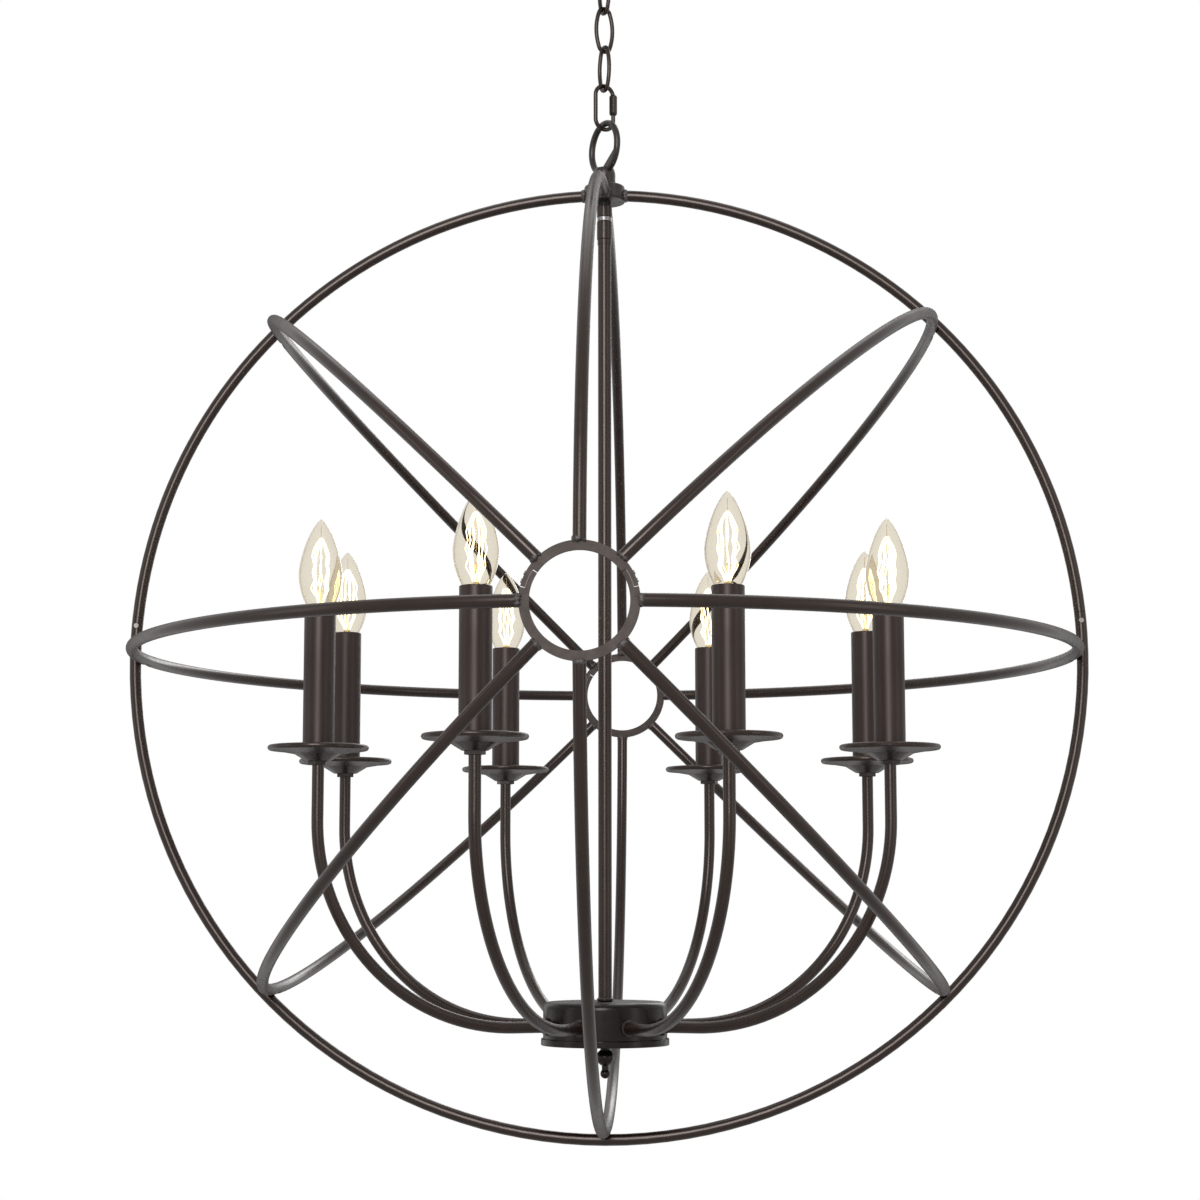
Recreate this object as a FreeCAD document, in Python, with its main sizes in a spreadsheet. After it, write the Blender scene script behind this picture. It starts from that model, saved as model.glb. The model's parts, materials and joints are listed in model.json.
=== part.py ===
import FreeCAD, Part
import Sketcher
import math
import os

# An eight-light orb chandelier on a short chain, hung from a ceiling canopy.
# Millimetres, +Z up. The origin lies on the ceiling plane, in the middle of the canopy's rim.
# The front of the orb looks along -Y: the big outer ring stands in the XZ plane, and the
# two small pole rings face the front and the back.

DIMENSIONS = {
    # ceiling canopy and what holds it
    "canopy_diameter": 127,
    "canopy_height": 25,
    "canopy_wall": 1.2,
    "canopy_shoulder": 14,
    "bracket_end": 4.3,
    "bracket_width": 20,
    "bracket_thickness": 2.5,
    "bracket_slot_spacing": 79.4,
    "bracket_slot_length": 20,
    "bracket_slot_width": 4.4,
    "pipe_diameter": 9.5,
    "pipe_bore": 6.5,
    "ceiling_pipe_length": 24,
    "nut_width": 14,
    "nut_height": 3,
    "thread_play": 0.05,
    "loop_body_diameter": 26.4,
    "loop_body_top": 14,
    "loop_body_wall": 3,
    "collar_diameter": 35,
    "collar_height": 7,
    "collar_play": 0.2,
    "ceiling_loop_wire": 5,
    "ceiling_loop_inside": 16,
    # chain and quick link
    "link_wire": 3.55,
    "link_length": 41.8,
    "link_width": 19.5,
    "link_end_radius": 5.6,
    "link_play": 0.3,
    "quick_wire": 3.6,
    "quick_length": 42,
    "quick_width": 21,
    "sleeve_nut_length": 17.4,
    "sleeve_nut_width": 6.6,
    "sleeve_nut_drop": 8.8,
    "sleeve_nut_play": 0.2,
    "quick_gap": 4.4,
    "quick_gap_cover": 0.6,
    "chain_turn": 33,
    # top loop, hub and couplings
    "top_loop_wire": 5.5,
    "top_loop_inside": 37,
    "top_boss_diameter": 18.6,
    "top_boss_height": 13,
    "hub_diameter": 34.4,
    "hub_height": 12,
    "hub_rise": 7.75,
    "hub_plate": 1.5,
    "hub_neck_diameter": 10.8,
    "hub_neck_height": 3.5,
    "coupling_diameter": 13,
    "upper_coupling_height": 10.2,
    "pipe_ring_height": 3.2,
    "pipe_ring_diameter": 12.2,
    "lower_coupling_height": 16.4,
    "rod_diameter": 11.2,
    "rod_step_diameter": 12,
    "rod_step_height": 4,
    # cage
    "orb_diameter": 800,
    "bar_diameter": 9.5,
    "bar_inset": 7.5,
    "bar_play": 0.15,
    "weld_gap": 0.3,
    "pole_ring_diameter": 83,
    "pole_ring_width": 7,
    "pole_ring_thickness": 3,
    "lap_low": 13,
    "lap_high": 33,
    "lap_end_gap": 0.8,
    "lap_tongue": 3.25,
    "lap_screw_diameter": 2,
    "lap_screw_head": 3.2,
    "lap_screw_head_height": 0.6,
    "ring_joint_height": 35,
    "spigot_diameter": 6,
    "spigot_length": 15,
    "spigot_play": 0.15,
    "ring_joint_gap": 0.4,
    "ring_screw_diameter": 2.5,
    "ring_screw_head": 4.4,
    "ring_screw_head_height": 1.4,
    "ring_screw_offset": 7,
    # hub can, arms and finial
    "arms_above_bottom": 96.5,
    "arm_diameter": 9.5,
    "arm_bore": 7.3,
    "arm_bend": 165,
    "arm_inner_end": 43,
    "can_diameter": 101.6,
    "can_height": 33.5,
    "can_above_arms": 19.5,
    "can_fillet": 5,
    "can_wall": 1.5,
    "base_overhang": 1.7,
    "base_plate": 1.5,
    "base_rim": 4,
    "rod_collar_diameter": 13.4,
    "rod_collar_height": 3.6,
    "ferrule_diameter": 14,
    "ferrule_length": 3,
    "nut_clearance": 0.8,
    "finial_ball": 14.4,
    "finial_tip": 8,
    "finial_neck": 8,
    "finial_waist": 5.6,
    "finial_neck_height": 4,
    "finial_waist_height": 3.6,
    "finial_stud_length": 14,
    # candles
    "candle_circle": 490,
    "candle_turn": 24.5,
    "pan_drop": 81.5,
    "pan_diameter": 80,
    "pan_roll": 4,
    "pan_wall": 1,
    "pan_dish_diameter": 38,
    "pan_dish_depth": 4,
    "pan_foot_diameter": 20,
    "pan_foot_depth": 10.5,
    "sleeve_diameter": 25,
    "sleeve_bore": 22.8,
    "sleeve_top": 30.5,
    "seat_gap": 0.3,
    "arm_tip_rise": 6,
    "socket_diameter": 19,
    "socket_bore": 12.6,
    "socket_length": 30,
    "socket_below_sleeve": 3,
    "socket_leg_width": 8,
    "socket_leg_thickness": 1.6,
    "socket_foot_height": 2,
    "bulb_diameter": 35,
    "bulb_height": 71,
    "bulb_belly": 27,
    "bulb_neck_diameter": 17,
    "bulb_neck_depth": 2.6,
    "bulb_cap_diameter": 11.9,
    "bulb_cap_length": 17,
    "bulb_tip": 2.4,
    "bulb_glass": 1,
}
LIGHTS = 8


class Size:
    """A length of the model together with the sheet expression that it comes from."""

    def __init__(self, value, text=None):
        self.value = float(value)
        self.text = repr(float(value)) if text is None else text

    def _join(self, other, sign, value):
        return Size(value, f"({self.text} {sign} {as_size(other).text})")

    def __add__(self, other):
        return self._join(other, "+", self.value + float(other))

    def __sub__(self, other):
        return self._join(other, "-", self.value - float(other))

    def __mul__(self, other):
        return self._join(other, "*", self.value * float(other))

    def __truediv__(self, other):
        return self._join(other, "/", self.value / float(other))

    def __neg__(self):
        return Size(-self.value, f"(0 - {self.text})")

    def __float__(self):
        return self.value


def as_size(number):
    return number if isinstance(number, Size) else Size(number)


def root(size):
    return Size(math.sqrt(size.value), f"sqrt({size.text})")


def cosine(angle):
    return Size(math.cos(math.radians(float(angle))), f"cos({as_size(angle).text} * 1 deg)")


def sine(angle):
    return Size(math.sin(math.radians(float(angle))), f"sin({as_size(angle).text} * 1 deg)")


doc = FreeCAD.newDocument("OrbChandelier")
sheet = doc.addObject("Spreadsheet::Sheet", "Sizes")


class Sizes:
    """Every driving dimension, by its alias in the sheet."""


s = Sizes()
for row, (alias, value) in enumerate(DIMENSIONS.items(), start=1):
    sheet.set(f"A{row}", alias)
    sheet.set(f"B{row}", str(value))
    sheet.setAlias(f"B{row}", alias)
    setattr(s, alias, Size(value, f"Sizes.{alias}"))
doc.recompute()

X_AXIS = FreeCAD.Vector(1, 0, 0)
Y_AXIS = FreeCAD.Vector(0, 1, 0)
Z_AXIS = FreeCAD.Vector(0, 0, 1)
parts = {}


def keep(feature, label, placement=None):
    """Names a finished sub-part and puts it in its place."""
    feature.Label = label
    if placement is not None:
        feature.Placement = placement
    parts[label] = feature
    return feature


def place(x=0.0, y=0.0, z=0.0, axis=Z_AXIS, angle=0.0):
    centre = FreeCAD.Vector(float(x), float(y), float(z))
    return FreeCAD.Placement(centre, FreeCAD.Rotation(axis, float(angle)))


# ---------------------------------------------------------------- sketch and feature helpers


def new_body(name):
    return doc.addObject("PartDesign::Body", name)


def origin_plane(body, role):
    return next(item for item in body.Origin.OriginFeatures if item.Role == role)


def new_sketch(body, name, plane, offset=0):
    sketch = body.newObject("Sketcher::SketchObject", name)
    sketch.AttachmentSupport = [(origin_plane(body, plane), "")]
    sketch.MapMode = "FlatFace"
    if float(offset) != 0:
        sketch.AttachmentOffset = place(z=offset)
        sketch.setExpression("AttachmentOffset.Base.z", offset.text)
    return sketch


def pin_point(sketch, line, end, across, up):
    """Ties one end of a line to its place, by expressions of the sheet's sizes."""
    for kind, number, axis in (("DistanceX", across, -2), ("DistanceY", up, -1)):
        if isinstance(number, (int, float)) and number == 0:
            sketch.addConstraint(Sketcher.Constraint("PointOnObject", line, end, axis))
        else:
            size = as_size(number)
            index = sketch.addConstraint(
                Sketcher.Constraint(kind, -1, 1, line, end, size.value)
            )
            sketch.setExpression(f"Constraints[{index}]", size.text)


def arc_about(centre, start, end, forward):
    """An arc about a centre, from start to end, counter-clockwise where forward."""
    first, last = (start, end) if forward else (end, start)
    angles = [math.atan2(point.y - centre.y, point.x - centre.x) for point in (first, last)]
    circle = Part.Circle(centre, Z_AXIS, (start - centre).Length)
    return Part.ArcOfCircle(circle, angles[0], angles[1])


def arc_between(start, end, radius):
    """An arc from start to end that bulges to the left of the way (radius < 0) or to the
    right (radius > 0), so a counter-clockwise outline bulges out where it is positive."""
    chord = end - start
    half = chord.Length / 2
    size = abs(radius)
    right = FreeCAD.Vector(chord.y, -chord.x, 0).normalize()
    height = math.sqrt(max(size * size - half * half, 0.0))
    turn = 1 if radius > 0 else -1
    centre = start + chord * 0.5 - right * (height * turn)
    return arc_about(centre, start, end, radius > 0)


def add_path(sketch, corners, arcs=None, closed=True):
    """Lines and arcs through the corners. arcs gives the radius of the side after a corner:
    positive bulges to the right of the way, negative to the left."""
    arcs = arcs or {}
    points = [FreeCAD.Vector(float(x), float(y), 0) for x, y in corners]
    count = len(points) if closed else len(points) - 1
    ends = []
    for side in range(count):
        start, end = points[side], points[(side + 1) % len(points)]
        if side in arcs:
            index = sketch.addGeometry(arc_between(start, end, float(arcs[side])), False)
            ends.append((index, 1, 2) if float(arcs[side]) > 0 else (index, 2, 1))
        else:
            index = sketch.addGeometry(Part.LineSegment(start, end), False)
            ends.append((index, 1, 2))
    for side in range(count):
        index, start_end, far_end = ends[side]
        pin_point(sketch, index, start_end, *corners[side])
        if side + 1 < count or closed:
            following, following_start, _ = ends[(side + 1) % count]
            sketch.addConstraint(
                Sketcher.Constraint("Coincident", index, far_end, following, following_start)
            )
        else:
            pin_point(sketch, index, far_end, *corners[side + 1])
        if side in arcs:
            set_radius(sketch, index, abs(float(arcs[side])), as_size(arcs[side]), corners[side])


def set_radius(sketch, index, size, radius, corner):
    """Fixes an arc between two pinned ends: a half round by its centre, others by radius."""
    arc = sketch.Geometry[index]
    chord = arc.EndPoint - arc.StartPoint
    if chord.Length < 2 * size - 1e-6:
        number = sketch.addConstraint(Sketcher.Constraint("Radius", index, size))
        sketch.setExpression(f"Constraints[{number}]", f"abs({radius.text})")
        return
    across, up = corner
    if abs(chord.x) < abs(chord.y):
        level = Sketcher.Constraint("DistanceX", -1, 1, index, 3, float(across))
        text = as_size(across).text
    else:
        level = Sketcher.Constraint("DistanceY", -1, 1, index, 3, float(up))
        text = as_size(up).text
    sketch.setExpression(f"Constraints[{sketch.addConstraint(level)}]", text)


def add_circle(sketch, across, up, diameter):
    centre = FreeCAD.Vector(float(across), float(up), 0)
    index = sketch.addGeometry(Part.Circle(centre, Z_AXIS, float(diameter) / 2), False)
    pin_point(sketch, index, 3, across, up)
    number = sketch.addConstraint(Sketcher.Constraint("Diameter", index, float(diameter)))
    sketch.setExpression(f"Constraints[{number}]", as_size(diameter).text)


def revolve(body, sketch, axis="V_Axis", angle=360, kind="Revolution", midplane=False):
    feature = body.newObject(f"PartDesign::{kind}", f"{sketch.Name}_{kind}")
    feature.Profile = sketch
    feature.ReferenceAxis = (sketch, [axis])
    feature.Midplane = midplane
    feature.Angle = float(angle)
    if isinstance(angle, Size):
        feature.setExpression("Angle", angle.text)
    return feature


def extrude(body, sketch, length, kind="Pad", midplane=False, reverse=False):
    feature = body.newObject(f"PartDesign::{kind}", f"{sketch.Name}_{kind}")
    feature.Profile = sketch
    feature.Midplane = midplane
    feature.Reversed = reverse
    feature.Length = float(length)
    feature.setExpression("Length", as_size(length).text)
    return feature


def turned(name, corners, arcs=None):
    """A turned piece: an outline in the XZ plane, once round Z."""
    body = new_body(name)
    sketch = new_sketch(body, f"{name}_outline", "XZ_Plane")
    add_path(sketch, corners, arcs)
    revolve(body, sketch)
    return body


def wire_form(name, corners, arcs, wire):
    """A round wire along an open path in the XZ plane that starts upright."""
    body = new_body(name)
    path = new_sketch(body, f"{name}_path", "XZ_Plane")
    add_path(path, corners, arcs, closed=False)
    section = new_sketch(body, f"{name}_section", "XY_Plane", corners[0][1])
    add_circle(section, corners[0][0], 0, wire)
    doc.recompute()
    feature = body.newObject("PartDesign::AdditivePipe", f"{name}_sweep")
    feature.Profile = section
    feature.Spine = (path, [f"Edge{number + 1}" for number in range(path.GeometryCount)])
    return body


def pipe_along(name, corners, arcs, wire, bore=None, closed=False):
    """A round bar, or a tube where a bore is given, along a path in the XZ plane. The path
    starts along X at the height of its first corner."""
    body = new_body(name)
    path = new_sketch(body, f"{name}_path", "XZ_Plane")
    add_path(path, corners, arcs, closed)
    section = new_sketch(body, f"{name}_section", "YZ_Plane", corners[0][0])
    add_circle(section, 0, corners[0][1], wire)
    if bore is not None:
        add_circle(section, 0, corners[0][1], bore)
    doc.recompute()
    feature = body.newObject("PartDesign::AdditivePipe", f"{name}_sweep")
    feature.Profile = section
    edges = [f"Edge{number + 1}" for number in range(path.GeometryCount)]
    feature.Spine = (path, edges)
    return body


def copies(body, label, placements):
    """Several like pieces of one design, as separate solids of one sub-part."""
    doc.recompute()
    group = doc.addObject("Part::Feature", label)
    group.Shape = Part.makeCompound([moved(body, spot) for spot in placements])
    return keep(group, label)


def moved(body, placement):
    shape = body.Shape.copy()
    shape.Placement = placement.multiply(shape.Placement)
    return shape


def copy_of(body, label, placement):
    """One more piece of a design that is drawn once, turned to its own place."""
    doc.recompute()
    twin = doc.addObject("Part::Feature", label)
    twin.Shape = body.Shape.copy()
    return keep(twin, label, placement)


def cut_away(body, name, tools):
    """A piece less a few tool shapes that follow the sheet's sizes."""
    doc.recompute()
    tool = doc.addObject("Part::Feature", f"{name}_tools")
    tool.Shape = Part.makeCompound(tools)
    cut = doc.addObject("Part::Cut", name)
    cut.Base = body
    cut.Tool = tool
    cut.Refine = True
    return cut


# ---------------------------------------------------------------- heights, from the ceiling down

loop_body_bottom = -(s.canopy_height + s.collar_height + s.loop_body_wall)
ceiling_loop_radius = (s.ceiling_loop_inside + s.ceiling_loop_wire) / 2
ceiling_loop_centre = loop_body_bottom - ceiling_loop_radius
ceiling_loop_bar = ceiling_loop_centre - ceiling_loop_radius

link_step = s.link_length - s.link_wire
hang = s.link_wire + s.link_play
chain_tops = []
bar = ceiling_loop_bar + (s.ceiling_loop_wire + s.link_wire) / 2 + s.link_play
for _ in range(3):
    chain_tops.append(bar)
    bar = bar - link_step + hang
chain_bars = [top - link_step for top in chain_tops]
quick_top = chain_bars[-1] + (s.link_wire + s.quick_wire) / 2 + s.link_play
quick_bar = quick_top - (s.quick_length - s.quick_wire)
top_loop_radius = (s.top_loop_inside + s.top_loop_wire) / 2
top_loop_centre = quick_bar + (s.quick_wire + s.top_loop_wire) / 2 + s.link_play - top_loop_radius
hub_top = top_loop_centre - top_loop_radius - s.top_boss_height

ring_radius = (s.orb_diameter - s.bar_diameter) / 2
arc_radius = ring_radius - s.bar_inset
orb_centre = hub_top - s.hub_rise - ring_radius
hub_bottom = hub_top - s.hub_height - s.hub_plate
upper_coupling_top = hub_bottom - s.hub_neck_height
pipe_ring_top = upper_coupling_top - s.upper_coupling_height
lower_coupling_top = pipe_ring_top - s.pipe_ring_height
rod_top = lower_coupling_top - s.lower_coupling_height

arm_height = orb_centre - s.orb_diameter / 2 + s.arms_above_bottom
can_top = arm_height + s.can_above_arms
can_bottom = can_top - s.can_height
base_bottom = can_bottom - s.base_plate
pan_height = orb_centre - s.pan_drop
sleeve_top = orb_centre + s.sleeve_top
candle_radius = s.candle_circle / 2

across_turn = s.chain_turn - 90  # the loop and every second link stand square to the others

# ---------------------------------------------------------------- ceiling fittings


def make_bracket():
    body = new_body("bracket")
    sketch = new_sketch(body, "bracket_outline", "XY_Plane")
    half_length = (s.bracket_slot_spacing + s.bracket_slot_length) / 2 + s.bracket_end
    half_width = s.bracket_width / 2
    add_path(
        sketch,
        [
            (-half_length, -half_width),
            (half_length, -half_width),
            (half_length, half_width),
            (-half_length, half_width),
        ],
    )
    add_circle(sketch, 0, 0, s.pipe_diameter + s.thread_play * 2)
    extrude(body, sketch, s.bracket_thickness)
    slots = new_sketch(body, "bracket_slots", "XY_Plane")
    half_slot = (s.bracket_slot_length - s.bracket_slot_width) / 2
    rise = s.bracket_slot_width / 2
    for side in (-1, 1):
        centre = s.bracket_slot_spacing / 2 * side
        left, right = centre - half_slot, centre + half_slot
        add_path(
            slots,
            [(left, -rise), (right, -rise), (right, rise), (left, rise)],
            {1: rise, 3: rise},
        )
    extrude(body, slots, s.bracket_thickness * 4, "Pocket", midplane=True)
    keep(body, "ceiling_bracket", place(z=-s.bracket_thickness))


def make_hex_nut(name):
    body = new_body(name)
    sketch = new_sketch(body, f"{name}_outline", "XY_Plane")
    reach = s.nut_width / 2 / cosine(30)
    corners = [(reach * cosine(60 * step), reach * sine(60 * step)) for step in range(6)]
    add_path(sketch, corners)
    add_circle(sketch, 0, 0, s.pipe_diameter + s.thread_play * 2)
    extrude(body, sketch, s.nut_height)
    return body


def make_ceiling_pipe():
    outer, inner = s.pipe_diameter / 2, s.pipe_bore / 2
    length = s.ceiling_pipe_length
    body = turned("ceiling_pipe", [(inner, -length), (outer, -length), (outer, 0), (inner, 0)])
    keep(body, "ceiling_pipe", place())


def make_ceiling_loop():
    """The threaded body that the canopy's collar runs on, with its bottom loop."""
    top, bottom = -s.loop_body_top, loop_body_bottom
    outer = s.loop_body_diameter / 2
    bore = s.pipe_diameter / 2 + s.thread_play
    cavity = outer - s.loop_body_wall
    roof = top - s.loop_body_wall * 2
    floor = bottom + s.loop_body_wall
    body = turned(
        "ceiling_loop",
        [(bore, top), (outer, top), (outer, bottom), (0, bottom), (0, floor), (cavity, floor),
         (cavity, roof), (bore, roof)],
    )
    ring = doc.addObject("Part::Torus", "ceiling_loop_ring")
    ring.setExpression("Radius1", ceiling_loop_radius.text)
    ring.setExpression("Radius2", (s.ceiling_loop_wire / 2).text)
    ring.Placement = place(z=ceiling_loop_centre, axis=X_AXIS, angle=90)
    joined = doc.addObject("Part::Fuse", "ceiling_loop_joined")
    joined.Base = body
    joined.Tool = ring
    joined.Refine = True
    keep(joined, "ceiling_loop", place(angle=s.chain_turn))


def make_canopy():
    outer, wall = s.canopy_diameter / 2, s.canopy_wall
    bend = s.canopy_shoulder
    hole = s.loop_body_diameter / 2 + s.collar_play
    bottom = -s.canopy_height
    body = turned(
        "canopy",
        [
            (outer, 0),
            (outer, bottom + bend),
            (outer - bend, bottom),
            (hole, bottom),
            (hole, bottom + wall),
            (outer - bend, bottom + wall),
            (outer - wall, bottom + bend),
            (outer - wall, 0),
        ],
        {1: -bend, 5: bend - wall},
    )
    keep(body, "canopy", place())


def make_canopy_collar():
    outer = s.collar_diameter / 2
    hole = s.loop_body_diameter / 2 + s.collar_play / 2
    edge = s.canopy_wall
    low = -s.collar_height
    body = turned(
        "canopy_collar",
        [(hole, low), (outer - edge, low), (outer, low + edge), (outer, -edge), (outer - edge, 0),
         (hole, 0)],
    )
    keep(body, "canopy_collar", place(z=-s.canopy_height))


make_bracket()
make_ceiling_pipe()
hex_nut = make_hex_nut("hex_nut")
copies(
    hex_nut,
    "ceiling_pipe_nuts",
    [place(z=-(s.bracket_thickness + s.nut_height)), place(z=-s.loop_body_top)],
)
make_ceiling_loop()
make_canopy()
make_canopy_collar()

# ---------------------------------------------------------------- chain and quick link


def make_link():
    """An oval chain link, its top bar's centre on the origin: tight bends at the two ends
    and shallow ones down the sides, each tangent to the next."""
    bend = s.link_end_radius
    half_width = (s.link_width - s.link_wire) / 2
    rise = link_step / 2 - bend
    side = (half_width * half_width + rise * rise - bend * bend) / ((half_width - bend) * 2)
    across = bend * (side - half_width) / (side - bend)
    high = bend * rise / (side - bend) - bend
    low = -link_step - high
    corners = [
        (0, 0), (across, high), (across, low), (0, -link_step), (-across, low), (-across, high)
    ]
    bends = {0: -bend, 1: -side, 2: -bend, 3: -bend, 4: -side, 5: -bend}
    return pipe_along("chain_link", corners, bends, s.link_wire, closed=True)


def make_quick_link():
    """An open link whose gap, in its right leg, is bridged by a sleeve nut."""
    bend = (s.quick_width - s.quick_wire) / 2
    low = -(s.quick_length - s.quick_wire)
    top_wire = s.quick_wire / 2
    gap_top = top_wire - (s.sleeve_nut_drop + s.quick_gap_cover)
    long_path = [
        (bend, gap_top - s.quick_gap),
        (bend, low + bend),
        (0, low),
        (-bend, low + bend),
        (-bend, -bend),
        (0, 0),
        (bend, -bend),
        (bend, gap_top),
    ]
    link_body = wire_form(
        "quick_link", long_path, {1: -bend, 2: -bend, 4: -bend, 5: -bend}, s.quick_wire
    )
    keep(link_body, "quick_link", place(z=quick_top, angle=s.chain_turn))
    bore = s.quick_wire / 2 + s.sleeve_nut_play
    half = s.sleeve_nut_width / 2
    waist = half / cosine(30) * 0.98
    taper = s.sleeve_nut_width / 4
    length = s.sleeve_nut_length
    barrel = turned(
        "sleeve_nut_barrel",
        [(bore, -length), (half * 0.8, -length), (waist, taper - length), (waist, -taper),
         (half * 0.8, 0), (bore, 0)],
    )
    flats = doc.addObject("Part::Prism", "sleeve_nut_flats")
    flats.Polygon = 6
    flats.setExpression("Circumradius", (half / cosine(30)).text)
    flats.setExpression("Height", (length * 3).text)
    flats.Placement = place(z=-length * 2)
    nut = doc.addObject("Part::Common", "sleeve_nut")
    nut.Base = barrel
    nut.Tool = flats
    turn = FreeCAD.Rotation(Z_AXIS, float(s.chain_turn))
    top = quick_top + top_wire - s.sleeve_nut_drop
    leg = turn.multVec(FreeCAD.Vector(float(bend), 0, float(top)))
    keep(nut, "quick_link_nut", FreeCAD.Placement(leg, turn))


link = make_link()
for step, (top, turn) in enumerate(zip(chain_tops, (across_turn, s.chain_turn, across_turn))):
    copy_of(link, f"chain_link_{3 - step}", place(z=top, angle=turn))
make_quick_link()

# ---------------------------------------------------------------- top loop, hub, couplings, rod


def make_top_loop():
    """A round loop on a boss that screws down on the hub, with a web that fills the loop's
    lower corner on one side."""
    boss = s.top_boss_diameter / 2
    base = s.top_boss_height + s.top_loop_wire / 2
    neck = boss - s.top_loop_wire / 4
    hole = s.pipe_diameter / 2 + s.thread_play
    depth = s.top_boss_height - s.top_loop_wire / 2
    body = turned(
        "top_boss",
        [(hole, 0), (boss, 0), (boss, base / 2), (neck, base), (0, base), (0, depth),
         (hole, depth)],
        {2: base},
    )
    ring = doc.addObject("Part::Torus", "top_loop_ring")
    ring.setExpression("Radius1", top_loop_radius.text)
    ring.setExpression("Radius2", (s.top_loop_wire / 2).text)
    ring.Placement = place(z=s.top_boss_height + top_loop_radius, axis=X_AXIS, angle=90)
    web = new_body("top_loop_web")
    sketch = new_sketch(web, "top_loop_web_outline", "XZ_Plane")
    centre = s.top_boss_height + top_loop_radius
    corners = [
        (0, s.top_boss_height / 2),
        (neck, s.top_boss_height),
        (top_loop_radius * cosine(14), centre - top_loop_radius * sine(14)),
        (-top_loop_radius * sine(12), centre - top_loop_radius * cosine(12)),
    ]
    add_path(sketch, corners, {1: top_loop_radius})
    extrude(web, sketch, s.top_loop_wire * 0.85, midplane=True)
    joined = doc.addObject("Part::MultiFuse", "top_loop_joined")
    joined.Shapes = [body, ring, web]
    joined.Refine = True
    keep(joined, "top_loop", place(z=hub_top, angle=across_turn))


def make_hub():
    """The drum that the cage bars are welded to, with the plate under it."""
    outer = s.hub_diameter / 2
    hole = s.pipe_diameter / 2 + s.thread_play
    neck = s.hub_neck_diameter / 2
    wall = s.hub_plate
    plate_top = -s.hub_height
    bottom = plate_top - s.hub_plate
    low = bottom - s.hub_neck_height
    body = turned(
        "hub",
        [
            (hole, 0),
            (outer - wall, 0),
            (outer, -wall),
            (outer, plate_top + wall / 2),
            (outer - wall / 3, plate_top),
            (outer, plate_top - wall / 3),
            (outer, bottom),
            (neck, bottom),
            (neck, low),
            (hole, low),
        ],
        {1: -wall},
    )
    keep(body, "top_hub", place(z=hub_top))


def make_pipe():
    """The threaded pipe from the loop's boss to the lower coupling, with its bright ring."""
    outer, inner = s.pipe_diameter / 2, s.pipe_bore / 2
    ring = s.pipe_ring_diameter / 2
    high = s.top_boss_height - s.top_loop_wire
    ring_high = pipe_ring_top - hub_top
    ring_low = lower_coupling_top - hub_top
    low = ring_low - s.lower_coupling_height / 2
    body = turned(
        "hub_pipe",
        [(inner, low), (outer, low), (outer, ring_low), (ring, ring_low), (ring, ring_high),
         (outer, ring_high), (outer, high), (inner, high)],
    )
    keep(body, "hub_pipe", place(z=hub_top))


def make_couplings():
    outer = s.coupling_diameter / 2
    hole = s.pipe_diameter / 2 + s.thread_play
    edge = s.hub_plate / 2
    upper = turned(
        "upper_coupling",
        [(hole, -s.upper_coupling_height), (outer - edge, -s.upper_coupling_height),
         (outer, edge - s.upper_coupling_height), (outer, -edge), (outer - edge, 0), (hole, 0)],
    )
    keep(upper, "upper_coupling", place(z=upper_coupling_top))
    low = -s.lower_coupling_height
    lower = turned(
        "lower_coupling",
        [(hole, low), (outer - edge, low), (outer, low + edge), (outer, -edge),
         (outer - edge, 0), (hole, 0)],
    )
    keep(lower, "lower_coupling", place(z=lower_coupling_top))


def make_rod():
    """The centre tube: its thin top end screws into the lower coupling, and its thin
    bottom end runs through the can to the finial."""
    outer, thin, inner = s.rod_diameter / 2, s.pipe_diameter / 2, s.pipe_bore / 2
    step = s.rod_step_diameter / 2
    seat = can_top + s.rod_collar_height - rod_top
    tip = s.lower_coupling_height / 2 - s.nut_height
    low = can_bottom - rod_top
    body = turned(
        "centre_rod",
        [
            (inner, low),
            (thin, low),
            (thin, seat),
            (outer, seat),
            (outer, -s.rod_step_height),
            (step, -s.rod_step_height),
            (step, 0),
            (thin, 0),
            (thin, tip),
            (inner, tip),
        ],
    )
    window = new_sketch(body, "rod_wire_window", "XZ_Plane")
    middle = arm_height - rod_top
    half = s.pipe_bore / 2
    add_path(
        window,
        [(-half / 2, middle - half), (half / 2, middle - half), (half / 2, middle + half),
         (-half / 2, middle + half)],
        {0: half / 2, 2: half / 2},
    )
    extrude(body, window, s.rod_diameter * 2, "Pocket", midplane=True)
    keep(body, "centre_rod", place(z=rod_top))


make_top_loop()
make_hub()
make_pipe()
make_couplings()
make_rod()

# ---------------------------------------------------------------- hub can, base, finial


def make_can():
    outer, wall, bend = s.can_diameter / 2, s.can_wall, s.can_fillet
    hole = s.pipe_diameter / 2 + s.thread_play * 2
    low = -s.can_height
    body = turned(
        "hub_can",
        [
            (hole, 0),
            (outer - bend, 0),
            (outer, -bend),
            (outer, low),
            (outer - wall, low),
            (outer - wall, -bend),
            (outer - bend, -wall),
            (hole, -wall),
        ],
        {1: -bend, 5: bend - wall},
    )
    hole_sketch = new_sketch(body, "can_arm_hole", "YZ_Plane")
    add_circle(hole_sketch, 0, -s.can_above_arms, s.arm_diameter + s.bar_play * 2)
    hole_cut = extrude(body, hole_sketch, s.can_diameter, "Pocket", reverse=True)
    doc.recompute()
    pattern = body.newObject("PartDesign::PolarPattern", "can_arm_holes")
    pattern.Originals = [hole_cut]
    pattern.Axis = (next(i for i in body.Origin.OriginFeatures if i.Role == "Z_Axis"), [""])
    pattern.Angle = 360
    pattern.Occurrences = LIGHTS
    body.Tip = pattern
    keep(body, "hub_can", place(z=can_top, angle=s.candle_turn))


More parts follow.
